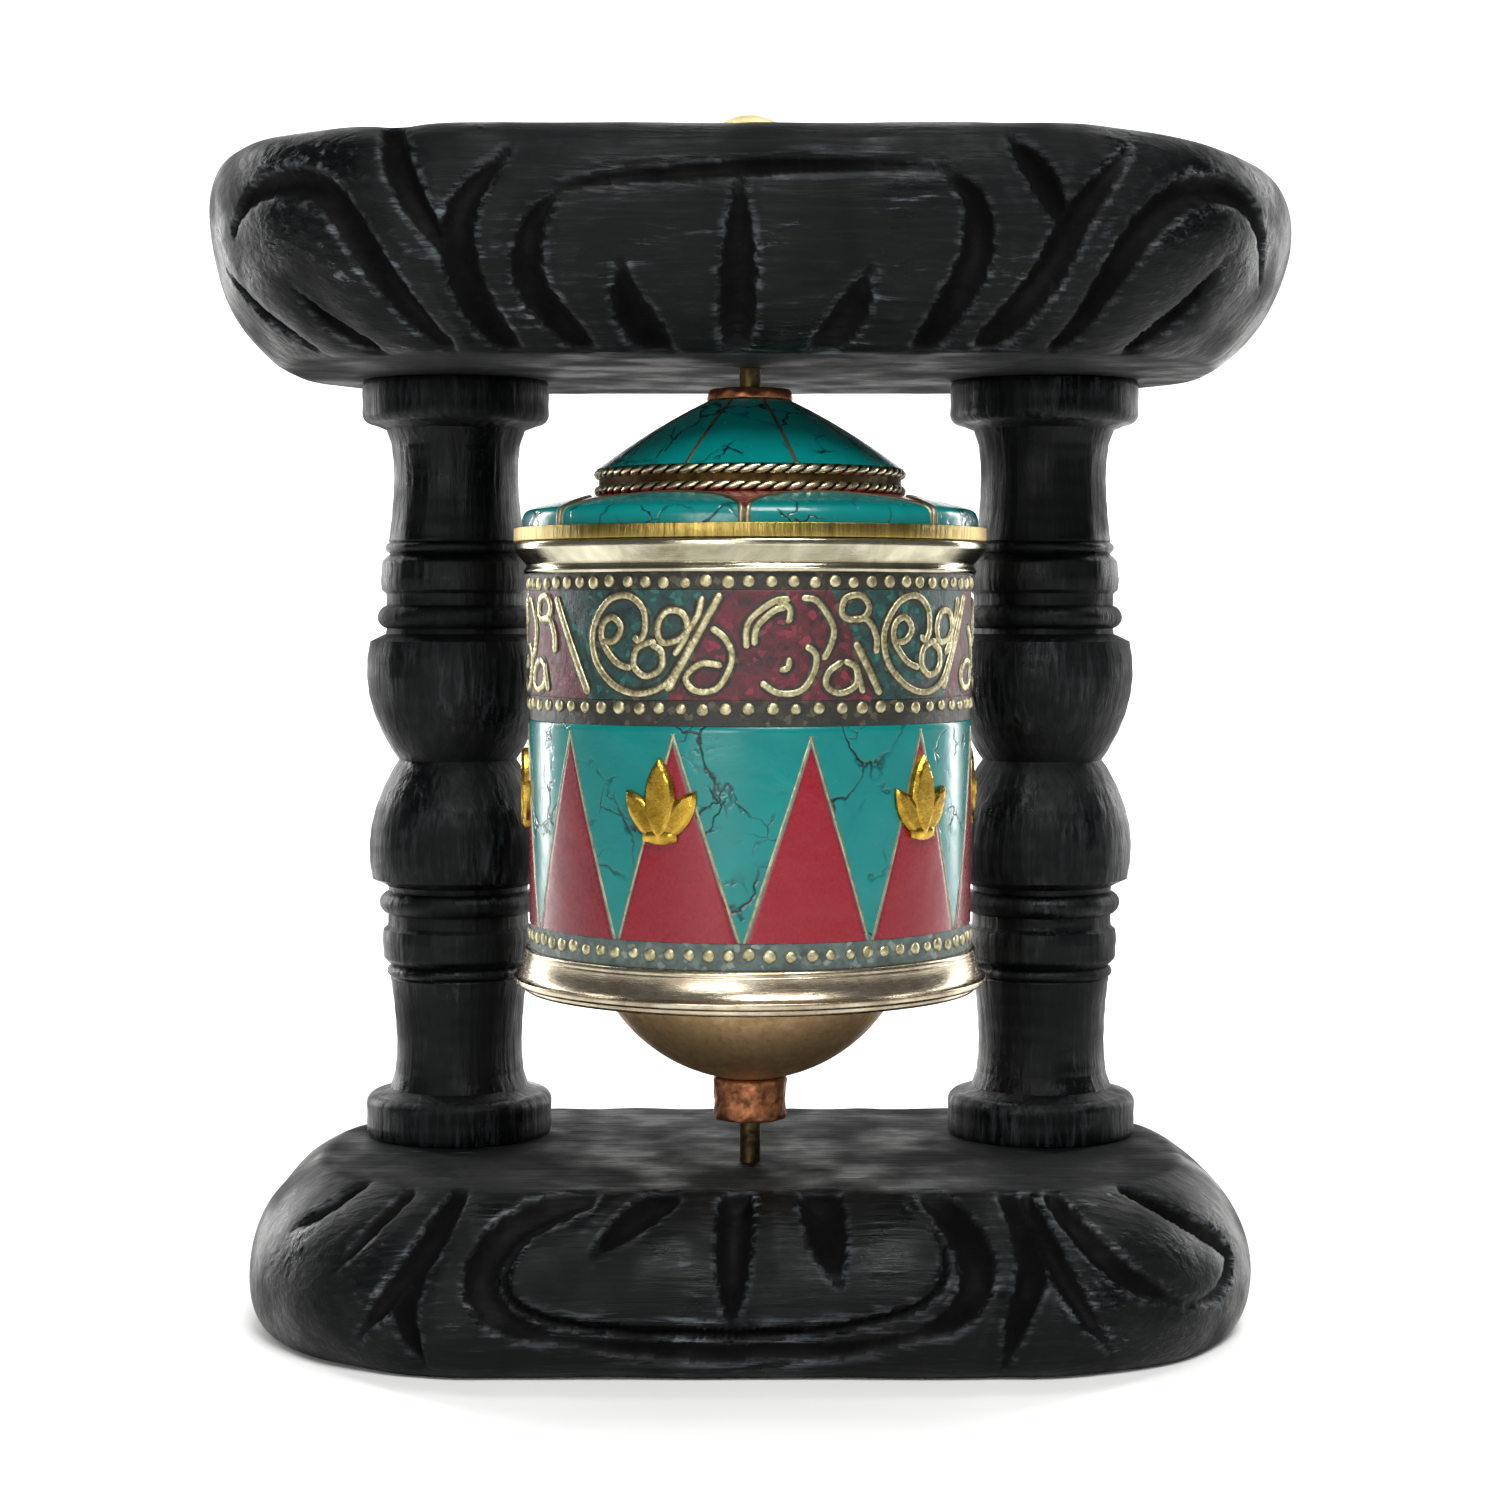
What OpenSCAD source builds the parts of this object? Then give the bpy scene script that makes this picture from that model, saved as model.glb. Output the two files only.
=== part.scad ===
// Tabletop prayer wheel: an inlaid metal drum that spins on a fixed rod between two carved
// boards, which two turned pillars hold apart. The drum hangs in front of the pillars' line.
// Millimetres. +Z is up, -Y is the front, and the origin is in the middle of the underside.

/* [Boards] */
// Thickness of the base board
base_h = 25.6; // [22:0.1:34]
// Depth of the base board, front to back
base_d = 92; // [80:1:120]
// How far the base board runs out past the pillars' collars
base_overhang = 15.4; // [12:0.1:30]
// Thickness of the top board
top_h = 31.3; // [26:0.1:40]
// Depth of the top board, front to back
top_d = 100; // [84:1:130]
// How far the top board runs out past the pillars' collars
top_overhang = 20; // [14:0.1:34]
// Corner radius of a board seen from above, as a share of its depth
corner_share = 0.43; // [0.3:0.01:0.46]
// Width of the carved slope around a board's inner face
slope_w = 10.8; // [6:0.1:13]

/* [Pillars] */
// Radius of the square-edged collar at each end of a pillar
collar_r = 14.9; // [12:0.1:16]
// Largest radius of the two swellings
bulge_r = 14.3; // [12:0.1:16]
// Radius of the waist between the swellings
waist_r = 9.5; // [6:0.1:11]
// Radius of the neck next to each collar
neck_r = 10; // [8:0.1:11]
// How far the pillars stand behind the middle of the boards
pillar_back = 12.4; // [4:0.1:14]
// Smallest gap between the drum's wall and a pillar
pillar_gap = 5.1; // [3.5:0.1:12]

/* [Drum] */
// Radius of the drum's inlaid wall
drum_r = 33.6; // [27:0.1:42]
// How far the wheel's axis stands in front of the middle of the boards
wheel_front = 12; // [6:0.1:16]
// Height of the band of turquoise and coral triangles
triangle_band_h = 30.6; // [24:0.1:50]
// Height of the scroll band, with its two rows of dots
scroll_band_h = 21.8; // [18:0.1:30]
// Number of coral triangles around the drum
triangle_count = 11; // [8:1:16]
// Thickness of the inlaid stones
inlay = 1.2; // [0.8:0.1:1.6]
// Thickness of the metal sheet
sheet = 0.8; // [0.6:0.1:1]
// Width of the wires between the stones
wire = 0.5; // [0.3:0.1:0.7]
// Height of the scroll wires and dots above the drum's wall
relief = 0.3; // [0.2:0.05:0.6]

/* [Cap and bowl] */
// Radius of the rope band between the shoulder and the cone
rope_r = 23.65; // [20:0.05:26]
// Height of the turquoise cone
cone_h = 10.5; // [8:0.1:16]
// Number of turquoise panels on the cone
cone_panels = 9; // [6:1:12]
// Number of turquoise petals on the shoulder
petal_count = 7; // [6:1:8]
// Radius of the ball that the bowl under the drum is part of
bowl_r = 25.1; // [24.5:0.1:30]
// Length of the copper bush under the bowl
bush_h = 6.5; // [5:0.1:10]

/* [Spindle] */
// Radius of the fixed rod that the wheel turns on
spindle_r = 1.6; // [1.2:0.05:2]
// Running clearance between the rod and the wheel's tube
running_fit = 0.08; // [0.04:0.01:0.1]
// End float between the thrust collar and the wheel's tube
end_float = 0.1; // [0.05:0.05:0.3]
// Gap between the base board and the wheel's lower bush
gap_below = 6.7; // [4:0.1:12]
// Gap between the wheel's upper bush and the top board
gap_above = 3.1; // [2:0.1:8]
// Height of the domed nut above its washer
dome_h = 5.9; // [4:0.1:7]

/* [Hidden] */
$fn = 96;
// Smallest overhang of a cutting tool past the face that it cuts
cut = 1;

// Fixed heights of the drum's own courses
flange_h = 6.5;
base_strip_h = 3.9;
cove_h = 4.9;
edge_band_h = 2;
shoulder_h = 4.9;
rope_band_h = 4;
top_bush_h = 1.7;
dot_strip_upper_h = 2.5;
dot_strip_lower_h = 3.7;
dot_r = 0.9;

// Radii that follow the drum's wall
shell_r = drum_r - inlay;
shell_inner_r = shell_r - sheet;
rim_r = drum_r + 2.2;
low_rim_r = drum_r + 2.4;
shoulder_r = rim_r - 0.5;
core_inner_r = spindle_r + running_fit;
core_r = core_inner_r + 1;
hub_r = 5.6;
hub_bore_r = 4.4;
collar_ring_r = spindle_r + 1.9;
collar_pocket_r = collar_ring_r + 0.4;

// The bowl is a cap of a ball: how far each of its circles lies below the ball's centre
function ball_drop(ball_r, r) = sqrt(ball_r * ball_r - r * r);
bowl_top_r = bowl_r * 0.9;
bowl_drop = ball_drop(bowl_r, hub_bore_r) - ball_drop(bowl_r, bowl_top_r);

// Heights of the courses above the rest plane, from the bush up
bush_z = base_h + gap_below;
bowl_z = bush_z + bush_h;
flange_z = bowl_z + bowl_drop;
base_strip_z = flange_z + flange_h;
triangle_z = base_strip_z + base_strip_h;
scroll_z = triangle_z + triangle_band_h;
cove_z = scroll_z + scroll_band_h;
edge_z = cove_z + cove_h;
shoulder_z = edge_z + edge_band_h;
rope_z = shoulder_z + shoulder_h;
cone_z = rope_z + rope_band_h;
top_bush_z = cone_z + cone_h;
wheel_top_z = top_bush_z + top_bush_h;
scroll_low_z = scroll_z + dot_strip_lower_h;
scroll_high_z = cove_z - dot_strip_upper_h;
scroll_mid_z = (scroll_low_z + scroll_high_z) / 2;

// The stand closes around the wheel
pillar_h = gap_below + (wheel_top_z - bush_z) + gap_above;
top_z = base_h + pillar_h;
axis_to_pillar = drum_r + bulge_r + pillar_gap;
pillar_x = sqrt(pow(axis_to_pillar, 2) - pow(wheel_front + pillar_back, 2));
base_w = 2 * (pillar_x + collar_r + base_overhang);
top_w = 2 * (pillar_x + collar_r + top_overhang);

// Edge of a board: rounded under its outer face, sloped and bulging towards its inner face
edge_round_h = 8.5;
edge_round_w = 4;
slope_turn = 60;

// Screws that hold the pillars
screw_r = 2;
screw_hole_r = 2.2;
head_r = 4;
head_h = 2.4;
head_sunk = 0.6;
screw_in_pillar = 20;

// Nuts and washers on the spindle
washer_h = 0.8;
foot_pocket_r = 7;
foot_pocket_h = 9;
foot_nut_h = 2.6;
foot_nut_r = 3.4;
spindle_foot_z = 4;
dome_ball_r = 8.1;
spindle_top_z = top_z + top_h + washer_h + dome_h - 2;

// Angles around the drum, counted from the front towards the right
triangle_phase = 14.4;
cone_phase = 16.7;
petal_phase = 24.4;
teal_angles = [-32, 45, 141, 232];
coral_angles = [10, 93, 186, 280];
ornament_angles = [-22, 47, 99, 158, 214, 272];
teal_top = 25;
teal_foot = 11.5;

// Scrolls of a turquoise field: [across, up, radius, from angle, to angle]
teal_scrolls = [
    [1.9, -0.3, 6.9, 150, 330], [-0.5, 3.1, 3.4, -30, 190], [1.1, 2.4, 1.6, 140, 400],
    [-3, 1.4, 2.1, -60, 220], [4.1, -2.2, 2.2, -30, 200], [8.2, 2.9, 2.1, 20, 300],
];
// Scrolls of a coral field
coral_scrolls = [
    [0, -0.3, 6.2, 30, 165], [0, -0.3, 6.2, 215, 345], [-0.6, -3.4, 2.4, 250, 380],
    [-11, -3.6, 2.3, 20, 330], [-10.8, -1.2, 3.5, -50, 60], [8.6, -4, 2.3, 10, 320],
    [9.4, 4.4, 2.1, 30, 340],
];

function reversed(points) = [for (i = [len(points) - 1:-1:0]) points[i]];

// Points of a straight-sided wedge that covers the angles from a to b
function wedge(r, a, b) = concat(
    [[0, 0]], [for (i = [0:6]) let (t = a + (b - a) * i / 6) r * [cos(t), sin(t)]]);

// ---- shared shapes ----

// Moves its children from the wheel's own axis to its place in the stand
module on_axis() {
    translate([0, -wheel_front, 0]) children();
}

// Plain tube standing on height z
module tube(z, h, outer_r, inner_r) {
    translate([0, 0, z]) difference() {
        cylinder(h = h, r = outer_r);
        translate([0, 0, -cut]) cylinder(h = h + 2 * cut, r = inner_r);
    }
}

// Stands flat children at the drum's wall, at an angle from the front, and extrudes them outwards.
// They reach "span" degrees to each side, and the extrusion starts just inside the inlay there.
module on_wall(angle, z, span) {
    start = shell_r * cos(span) - 0.2;
    rotate([0, 0, angle]) translate([0, -start, z]) rotate([90, 0, 0])
        linear_extrude(height = drum_r + 2 - start) children();
}

// Curved strip of a wire: part of a flat ring, from angle a to angle b
module wire_arc(x, y, r, a, b, w) {
    mid = (a + b) / 2;
    translate([x, y]) for (part = [[a, mid], [mid, b]]) intersection() {
        difference() {
            circle(r = r + w / 2, $fn = 48);
            circle(r = r - w / 2, $fn = 48);
        }
        polygon(wedge(4 * r, part[0], part[1]));
    }
}

// Row of raised round dots around the drum, about "pitch" apart
module dot_row(z, pitch) {
    dots = round(2 * PI * drum_r / pitch);
    difference() {
        for (i = [1:dots]) rotate([0, 0, 360 * i / dots]) translate([0, cut - drum_r, z])
            rotate([90, 0, 0]) cylinder(h = cut + relief, r = dot_r, $fn = 48);
        translate([0, 0, z - 2 * dot_r]) cylinder(h = 4 * dot_r, r = drum_r, $fn = 360);
    }
}

// ---- stand ----

// Edge line of a board: [inset from its widest outline, height above its outer face]
function edge_line(h) = concat(
    [for (i = [0:4]) let (t = 90 - 90 * i / 4) [edge_round_w * (1 - cos(t)), edge_round_h * (1 - sin(t))]],
    [for (i = [1:6]) let (t = slope_turn * i / 6)
        [slope_w * (1 - cos(t)) / (1 - cos(slope_turn)),
         edge_round_h + (h - edge_round_h) * sin(t) / sin(slope_turn)]]);

// Board with its outer face down: four turned corners joined by straight strips
module board_blank(w, d, h) {
    corner = corner_share * d;
    line = edge_line(h);
    quarter = concat([[0, 0]], [for (p = line) [corner - p[0], p[1]]], [[0, h]]);
    for (sx = [0, 1], sy = [0, 1]) mirror([sx, 0, 0]) mirror([0, sy, 0])
        translate([w / 2 - corner, d / 2 - corner, 0]) rotate_extrude(angle = 90) polygon(quarter);
    for (s = [0, 1]) mirror([s, 0, 0]) translate([w / 2 - corner, d / 2 - corner, 0])
        rotate([90, 0, 0]) linear_extrude(height = d - 2 * corner) polygon(quarter);
    for (s = [0, 1]) mirror([0, s, 0]) translate([corner - w / 2, d / 2 - corner, 0])
        rotate([90, 0, 90]) linear_extrude(height = w - 2 * corner) polygon(quarter);
    translate([corner - w / 2, corner - d / 2, 0]) cube([w - 2 * corner, d - 2 * corner, h]);
}

// Clearance holes for the two pillar screws and the spindle, bored from the outer face
module board_holes(h) {
    for (s = [-1, 1]) translate([s * pillar_x, pillar_back, 0]) {
        translate([0, 0, -cut]) cylinder(h = h + 2 * cut, r = screw_hole_r);
        translate([0, 0, -cut]) cylinder(h = cut + head_sunk, r = head_r);
        translate([0, 0, head_sunk]) cylinder(h = head_h, r1 = head_r, r2 = screw_hole_r);
    }
    on_axis() translate([0, 0, -cut]) cylinder(h = h + 2 * cut, r = spindle_r);
}

module base_board() {
    color("#232426") difference() {
        board_blank(base_w, base_d, base_h);
        board_holes(base_h);
        on_axis() translate([0, 0, -cut]) cylinder(h = foot_pocket_h + cut, r = foot_pocket_r);
    }
}

module top_board() {
    color("#232426") translate([0, 0, top_z + top_h]) mirror([0, 0, 1]) difference() {
        board_blank(top_w, top_d, top_h);
        board_holes(top_h);
    }
}

// Half-round bead of a turning: its crown reaches radius r at height h
function bead(r, h, size) = [for (a = [-60:30:60]) [r - size + size * cos(a), h + size * sin(a)]];

// Right-hand outline of a pillar's upper half, from the waist up to its end face
function half_outline(half) = concat(
    [for (i = [0:8]) let (u = i / 6) [bulge_r - (bulge_r - waist_r) * pow(1 - u, 2), u * 0.236 * half]],
    bead(bulge_r - 1.9, 0.38 * half, 1.7),
    bead(bulge_r - 2.5, 0.472 * half, 2.2),
    bead(bulge_r - 3, 0.54 * half, 1.2),
    [for (i = [0:4]) let (u = i / 4) [neck_r + 0.9 * pow(1 - u, 2), (0.58 + 0.19 * u) * half]],
    [[neck_r + 0.3, 0.83 * half], [neck_r + 1.1, 0.872 * half]],
    [for (i = [0:3]) let (t = 30 * i) [collar_r - 1.6 * (1 - sin(t)), (0.912 - 0.026 * cos(t)) * half]],
    [[collar_r, half]]);

module pillar(side) {
    half = pillar_h / 2;
    upper = half_outline(half);
    lower = [for (p = reversed(upper)) [p[0], -p[1]]];
    translate([side * pillar_x, pillar_back, base_h]) difference() {
        translate([0, 0, half]) rotate_extrude() polygon(concat([[0, -half]], lower, upper, [[0, half]]));
        for (end = [0, 1]) translate([0, 0, end * pillar_h]) mirror([0, 0, end]) {
            translate([0, 0, -cut]) cylinder(h = screw_in_pillar - 4 + cut, r = screw_r);
            translate([0, 0, screw_in_pillar - 4]) cylinder(h = 4, r1 = screw_r, r2 = 0.4);
        }
    }
}

module left_pillar() {
    color("#1e1f21") pillar(-1);
}

module right_pillar() {
    color("#1e1f21") pillar(1);
}

// Countersunk slotted wood screw, its head's flat face down at height 0
module wood_screw(board_h) {
    length = board_h + screw_in_pillar - head_sunk;
    difference() {
        union() {
            cylinder(h = head_h, r1 = head_r, r2 = screw_hole_r);
            cylinder(h = length - 4, r = screw_r);
            translate([0, 0, length - 4]) cylinder(h = 4, r1 = screw_r, r2 = 0.4);
        }
        translate([-head_r - cut, -0.4, -cut]) cube([2 * (head_r + cut), 0.8, cut + 1]);
    }
}

module lower_screws() {
    color("#8d8a84") for (s = [-1, 1]) translate([s * pillar_x, pillar_back, head_sunk])
        wood_screw(base_h);
}

module upper_screws() {
    color("#8d8a84") for (s = [-1, 1]) translate([s * pillar_x, pillar_back, top_z + top_h - head_sunk])
        mirror([0, 0, 1]) wood_screw(top_h);
}

// ---- spindle and what is on it ----

module spindle() {
    color("#6e6152") on_axis() translate([0, 0, spindle_foot_z])
        cylinder(h = spindle_top_z - spindle_foot_z, r = spindle_r);
}

module cap_washer() {
    color("#b59a4e") on_axis() tube(top_z + top_h, washer_h, dome_ball_r + 0.6, spindle_r);
}

// Blind domed nut: the crown of a ball, bored from below
module cap_nut() {
    seat_z = top_z + top_h + washer_h;
    color("#b59a4e") on_axis() difference() {
        intersection() {
            translate([0, 0, seat_z + dome_h - dome_ball_r]) sphere(r = dome_ball_r);
            translate([0, 0, seat_z]) cylinder(h = dome_h + cut, r = dome_ball_r);
        }
        translate([0, 0, seat_z - cut]) cylinder(h = spindle_top_z - seat_z + cut, r = spindle_r);
    }
}

module foot_washer() {
    color("#8d8a84") on_axis()
        tube(foot_pocket_h - washer_h, washer_h, foot_pocket_r - 1, spindle_r);
}

module foot_nut() {
    color("#8d8a84") on_axis() translate([0, 0, foot_pocket_h - washer_h - foot_nut_h]) difference() {
        cylinder(h = foot_nut_h, r = foot_nut_r, $fn = 6);
        translate([0, 0, -cut]) cylinder(h = foot_nut_h + 2 * cut, r = spindle_r);
    }
}

// Ring soldered to the spindle inside the lower bush: it carries the wheel
thrust_z = bush_z + 0.5;
thrust_h = 2.7;
module thrust_collar() {
    color("#b59a4e") on_axis() tube(thrust_z, thrust_h, collar_ring_r, spindle_r);
}

// ---- wheel: structure ----
core_z = thrust_z + thrust_h + end_float;

module core_tube() {
    color("#b59a4e") on_axis() tube(core_z, wheel_top_z - core_z, core_r, core_inner_r);
}

module drum_shell() {
    color("#a98f4a") on_axis() tube(base_strip_z, edge_z - base_strip_z, shell_r, shell_inner_r);
}

module drum_floor() {
    color("#a98f4a") on_axis() tube(base_strip_z, sheet, shell_inner_r, core_r);
}

module prayer_roll() {
    color("#dccfa8") on_axis()
        tube(base_strip_z + sheet, triangle_band_h + scroll_band_h - 4, drum_r * 0.72, core_r);
}

// White metal flange: a hollow moulding over a small bead
module top_flange() {
    hollow = rim_r - drum_r - 0.3;
    color("#d8d2b4") on_axis() rotate_extrude() polygon(concat(
        [[shell_r, cove_z], [drum_r + 0.5, cove_z], [drum_r + 0.8, cove_z + 0.5],
         [drum_r + 0.4, cove_z + 1]],
        [for (i = [0:5]) let (t = 18 * i)
            [rim_r - hollow * cos(t), cove_z + 1.4 + (cove_h - 2.6) * (1 - cos(t))]],
        [[rim_r, edge_z - 0.4], [rim_r - 0.4, edge_z], [shell_r, edge_z]]));
}

module edge_band() {
    color("#c2a244") on_axis() tube(edge_z, edge_band_h, rim_r, shoulder_r);
}

// ---- wheel: shoulder ----

// Outline of the shoulder at a depth inside its outer face: a low slope from under the rope band
// out to a rounded corner, and an upright rim that stands inside the edge band
function shoulder_line(deep) = let (w = shoulder_r - rope_r) [
    [rope_r - 2.2, rope_z - deep], [rope_r, rope_z - deep],
    [rope_r + 0.55 * w, rope_z - 0.22 * shoulder_h - deep],
    [shoulder_r - 1.4 - deep, rope_z - 0.42 * shoulder_h - deep],
    [shoulder_r - 0.4 - deep, rope_z - 0.53 * shoulder_h - deep],
    [shoulder_r - deep, rope_z - 0.72 * shoulder_h - deep],
    [shoulder_r - deep, edge_z],
];

// Layer of the shoulder between two depths
module shoulder_layer(top, bottom) {
    rotate_extrude() polygon(concat(shoulder_line(top), reversed(shoulder_line(bottom))));
}

// Upright round posts that cut the petals' outlines out of the shoulder. A petal's tip lies just
// outside the rope band, and its neighbours' sides are a small angle away at the rim.
petal_tip_r = rope_r + 1.6;
petal_half = 180 / petal_count - 1.4;
petal_post_x = (pow(shoulder_r, 2) - pow(petal_tip_r, 2))
    / (2 * (shoulder_r * cos(petal_half) - petal_tip_r));
module petal_posts(grow) {
    for (i = [1:petal_count]) rotate([0, 0, petal_phase - 90 + 360 * i / petal_count])
        translate([petal_post_x, 0, edge_z - 2 * cut])
            cylinder(h = shoulder_h + 6, r = petal_post_x - petal_tip_r + grow);
}

module shoulder_plate() {
    color("#a98f4a") on_axis() shoulder_layer(inlay, inlay + sheet);
}

module shoulder_turquoise() {
    color("#0b8e86") on_axis() intersection() {
        shoulder_layer(0, inlay);
        petal_posts(0);
    }
}

module shoulder_wires() {
    color("#c9a93a") on_axis() intersection() {
        shoulder_layer(0, inlay);
        difference() {
            petal_posts(wire);
            petal_posts(0);
        }
    }
}

module shoulder_coral() {
    color("#b4243c") on_axis() difference() {
        shoulder_layer(0, inlay);
        petal_posts(wire);
    }
}

// ---- wheel: rope band, cone and upper bush ----
rope_thick = 0.75;

module rope_band() {
    color("#4a3c22") on_axis() tube(rope_z, rope_band_h, rope_r - rope_thick, rope_r - rope_thick - 1);
}

// One twisted wire, flat against the rope band
module rope_ring(z) {
    on_axis() rotate_extrude() translate([rope_r - rope_thick, z]) intersection() {
        circle(r = rope_thick, $fn = 32);
        translate([0, -rope_thick]) square([rope_thick, 2 * rope_thick]);
    }
}

module upper_rope() {
    color("#cdbd84") rope_ring(cone_z - rope_thick);
}

module lower_rope() {
    color("#cdbd84") rope_ring(rope_z + rope_thick);
}

// Outline of the cone, moved inwards by "inset": a straight slope with a slight bulge
function cone_line(inset) = [for (i = [0:6]) let (u = i / 6)
    [rope_r - 0.4 - inset + (hub_r + 1 - rope_r) * u, cone_z + cone_h * (u + 0.22 * u * (1 - u))]];

// Layer of the cone between two insets
module cone_layer(outer, inner) {
    rotate_extrude() polygon(concat(cone_line(outer), reversed(cone_line(inner))));
}

cone_inlay = 1.7 * inlay;
cone_sheet = 1.5 * sheet;

// Thin upright blades along the panels' borders
module cone_blades() {
    for (i = [1:cone_panels]) rotate([0, 0, cone_phase - 90 + 360 * i / cone_panels])
        translate([0, -wire / 2, cone_z - cut]) cube([rope_r + cut, wire, cone_h + 2 * cut]);
}

module cone_shell() {
    color("#a98f4a") on_axis() cone_layer(cone_inlay, cone_inlay + cone_sheet);
}

module cone_turquoise() {
    color("#0b8e86") on_axis() difference() {
        cone_layer(0, cone_inlay);
        cone_blades();
    }
}

module cone_wires() {
    color("#c9a93a") on_axis() intersection() {
        cone_layer(0, cone_inlay);
        cone_blades();
    }
}

module top_bush() {
    color("#a8623c") on_axis() tube(top_bush_z, top_bush_h, hub_r + 0.9, core_r);
}

// ---- wheel: scroll band ----

module wall_layer(z, h) {
    tube(z, h, drum_r, shell_r);
}

module upper_dot_strip() {
    color("#2b2a22") on_axis() wall_layer(scroll_high_z, dot_strip_upper_h);
}

module upper_dots() {
    color("#d6c388") on_axis() dot_row(cove_z - 1.4, 3.05);
}

module lower_dot_strip() {
    color("#33352c") on_axis() wall_layer(scroll_z, dot_strip_lower_h);
}

module lower_dots() {
    color("#d6c388") on_axis() dot_row(scroll_low_z - 1.2, 3.3);
}

// Half width of a turquoise field at its top and at its foot, and half its height
field_top_x = drum_r * sin(teal_top);
field_foot_x = drum_r * sin(teal_foot);
field_half_h = (scroll_high_z - scroll_low_z) / 2;

// Wedges of the turquoise fields, wide at the top and narrow at the foot. "grow" moves their
// slanted sides outwards, and they run on straight past the band's edges.
module teal_fields(grow) {
    top_x = field_top_x + grow;
    foot_x = field_foot_x + grow;
    high = field_half_h;
    past = high + cut;
    for (a = teal_angles) on_wall(a, scroll_mid_z, teal_top + 2)
        polygon([[-foot_x, -past], [foot_x, -past], [foot_x, -high], [top_x, high],
            [top_x, past], [-top_x, past], [-top_x, high], [-foot_x, -high]]);
}

module scroll_teal() {
    color("#12635f") on_axis() intersection() {
        wall_layer(scroll_low_z, scroll_high_z - scroll_low_z);
        teal_fields(0);
    }
}

module scroll_coral() {
    color("#6e1f2c") on_axis() difference() {
        wall_layer(scroll_low_z, scroll_high_z - scroll_low_z);
        teal_fields(0);
    }
}

// Ring of the wires' height around the scroll band
module wire_layer() {
    tube(scroll_low_z, scroll_high_z - scroll_low_z, drum_r + relief, drum_r);
}

// Raised straight wires along the fields' slanted borders
module field_wires() {
    color("#c9b878") on_axis() for (a = teal_angles, s = [-1, 1]) intersection() {
        wire_layer();
        on_wall(a, scroll_mid_z, teal_top + 2)
            polygon([[s * field_foot_x - wire, -field_half_h], [s * field_foot_x + wire, -field_half_h],
                [s * field_top_x + wire, field_half_h], [s * field_top_x - wire, field_half_h]]);
    }
}

// The scrolls of each field at one of the angles, bent to the drum's wall
module scroll_fields(angles, scrolls) {
    for (a = angles) intersection() {
        wire_layer();
        on_wall(a, scroll_mid_z, teal_top)
            for (s = scrolls) wire_arc(s[0], s[1], s[2], s[3], s[4], 2 * wire);
    }
}

// The scrolls end at the border wires of their own field
module scroll_wires() {
    color("#c9b878") on_axis() {
        intersection() {
            scroll_fields(teal_angles, teal_scrolls);
            teal_fields(-wire);
        }
        difference() {
            scroll_fields(coral_angles, coral_scrolls);
            teal_fields(wire);
        }
    }
}

// ---- wheel: triangle band ----

// Half width and height of a coral triangle with its wires: neighbours just clear each other
triangle_half = shell_r * sin(180 / triangle_count - 0.3);
triangle_tip = triangle_band_h - 0.6;
// How far a triangle's sides run on straight below the band
triangle_foot = 0.4;
// Points of a triangle with that half width at the band's foot
function triangle(half) =
    let (tip = triangle_tip * half / triangle_half, foot = half * (1 + triangle_foot / tip))
    [[-foot, -triangle_foot], [0, tip], [foot, -triangle_foot]];

// A flat shape repeated around the wall at each triangle's place
module at_triangles() {
    for (i = [1:triangle_count])
        on_wall(triangle_phase + 360 * i / triangle_count, triangle_z, 180 / triangle_count) children();
}

module triangle_coral() {
    color("#b4243c") on_axis() intersection() {
        wall_layer(triangle_z, triangle_band_h);
        at_triangles() polygon(triangle(triangle_half - wire));
    }
}

module triangle_wires() {
    color("#c9a93a") on_axis() intersection() {
        wall_layer(triangle_z, triangle_band_h);
        at_triangles() polygon(concat(triangle(triangle_half), reversed(triangle(triangle_half - wire))));
    }
}

module triangle_turquoise() {
    color("#0b8e86") on_axis() difference() {
        wall_layer(triangle_z, triangle_band_h);
        at_triangles() polygon(triangle(triangle_half));
    }
}

// Leaf shape between two arcs, standing on its lower tip
module leaf(length, width) {
    r = (length * length / 4 + width * width / 4) / width;
    translate([0, length / 2]) intersection() {
        translate([r - width / 2, 0]) circle(r = r);
        translate([width / 2 - r, 0]) circle(r = r);
    }
}

// Lotus bud of three leaves on a short cup
module lotus_bud() {
    leaf(12, 4.6);
    for (s = [-1, 1]) rotate(s * 36) leaf(9, 3.6);
    intersection() {
        translate([0, 2.6]) circle(r = 3);
        translate([-4, -0.4]) square([8, 2.4]);
    }
}

module lotus_ornaments() {
    ornament_z = triangle_z + triangle_band_h * 0.66 - 6;
    color("#c79a2e") on_axis() for (a = ornament_angles) intersection() {
        tube(ornament_z - 2, 16, drum_r + 1.2, drum_r);
        on_wall(a, ornament_z, 12) lotus_bud();
    }
}

module base_dot_strip() {
    color("#5d6a66") on_axis() wall_layer(base_strip_z, base_strip_h);
}

module base_dots() {
    color("#d6c388") on_axis() dot_row(base_strip_z + 2.1, 2.93);
}

// ---- wheel: lower flange, bowl and bush ----

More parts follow.
